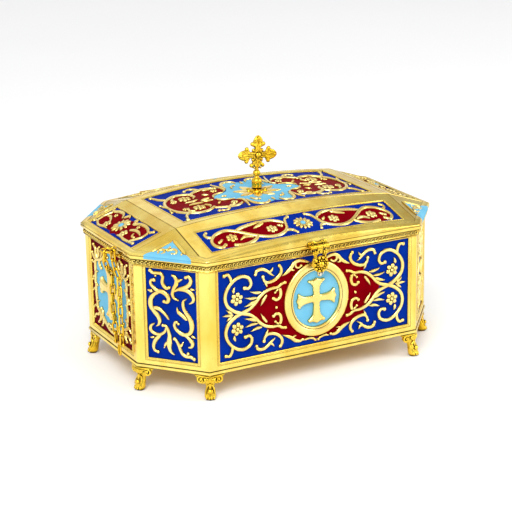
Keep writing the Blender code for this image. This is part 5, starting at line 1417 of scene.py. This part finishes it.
def plain_parts():
    """The hinges and pins keep the frame's own solids."""
    leaves = ["hinge_leaf_%s_%s" % (part, side) for part in ("body", "lid") for side in ("left", "right")]
    for name in leaves + ["hinge_pin_left", "hinge_pin_right", "hasp_pin"]:
        mesh = bpy.data.objects[name].data
        mesh.materials.clear()
        mesh.materials.append(CAST if "pin" in name else BAND)


body()
lid()
for corner in range(8):
    foot(corner)
finial()
hasp_mount()
hasp()
ring_and_chain()
plain_parts()


# Surroundings

FLOOR_REACH = 12.0


def floor():
    """The pale floor."""
    material, nodes, links, shader, coords = started("pale_floor")
    drift = noise(nodes, links, coords, 3.0)
    links.new(mixed(nodes, links, drift, (0.93, 0.93, 0.93, 1.0), (0.9, 0.9, 0.9, 1.0)),
              shader.inputs["Base Color"])
    shader.inputs["Roughness"].default_value = 0.9
    mesh = bpy.data.meshes.new("floor")
    r = FLOOR_REACH
    mesh.from_pydata([(-r, -r, 0), (r, -r, 0), (r, r, 0), (-r, r, 0)], [], [(0, 1, 2, 3)])
    mesh.materials.append(material)
    plane = bpy.data.objects.new("floor", mesh)
    bpy.context.scene.collection.objects.link(plane)


def lamp(name, place, aim, size, power):
    """A soft rectangular lamp aimed at a place."""
    light = bpy.data.lights.new(name, "AREA")
    light.shape = "RECTANGLE"
    light.size, light.size_y = size
    light.energy = power
    piece = bpy.data.objects.new(name, light)
    bpy.context.scene.collection.objects.link(piece)
    piece.location = place
    piece.rotation_euler = (Vector(aim) - Vector(place)).to_track_quat("-Z", "Y").to_euler()


def studio():
    """The floor, the surrounding light and two lamps."""
    floor()
    world = bpy.data.worlds.new("studio")
    bpy.context.scene.world = world
    world.use_nodes = True
    background = world.node_tree.nodes["Background"]
    background.inputs["Color"].default_value = (1.0, 1.0, 1.0, 1.0)
    nodes, links = world.node_tree.nodes, world.node_tree.links
    coords = nodes.new("ShaderNodeTexCoord").outputs["Generated"]
    cloth = noise(nodes, links, coords, 2.3, 1.0)
    links.new(ranged(nodes, links, cloth, 0.4, 0.6, 0.45, 1.2), background.inputs["Strength"])
    bpy.context.scene.view_settings.view_transform = "Standard"
    lamp("key", (-1.0, -1.3, 1.5), (0.0, 0.0, 0.06), (1.0, 1.0), 30.0)
    lamp("fill", (1.4, -0.9, 0.8), (0.0, 0.0, 0.06), (0.8, 1.2), 10.0)


def camera():
    """The photograph's camera."""
    az, el, roll = math.radians(-27.683), math.radians(17.667), -0.018
    back = Vector((math.sin(az) * math.cos(el), -math.cos(az) * math.cos(el), math.sin(el)))
    right = Vector((math.cos(az), math.sin(az), 0.0))
    up = back.cross(right)
    side = right * math.cos(roll) + up * math.sin(roll)
    top = up * math.cos(roll) - right * math.sin(roll)
    place = (Vector((-1.86, 0.0, 53.77)) + back * 1344.4) * MM + MIDDLE
    lens = bpy.data.cameras.new("camera")
    lens.sensor_width = 36.0
    lens.lens = 1663.08 / 512.0 * 36.0
    lens.clip_start = 0.01
    eye = bpy.data.objects.new("camera", lens)
    bpy.context.scene.collection.objects.link(eye)
    turn = Matrix((side, top, back)).transposed().to_4x4()
    eye.matrix_world = Matrix.Translation(place) @ turn
    bpy.context.scene.camera = eye


studio()
camera()
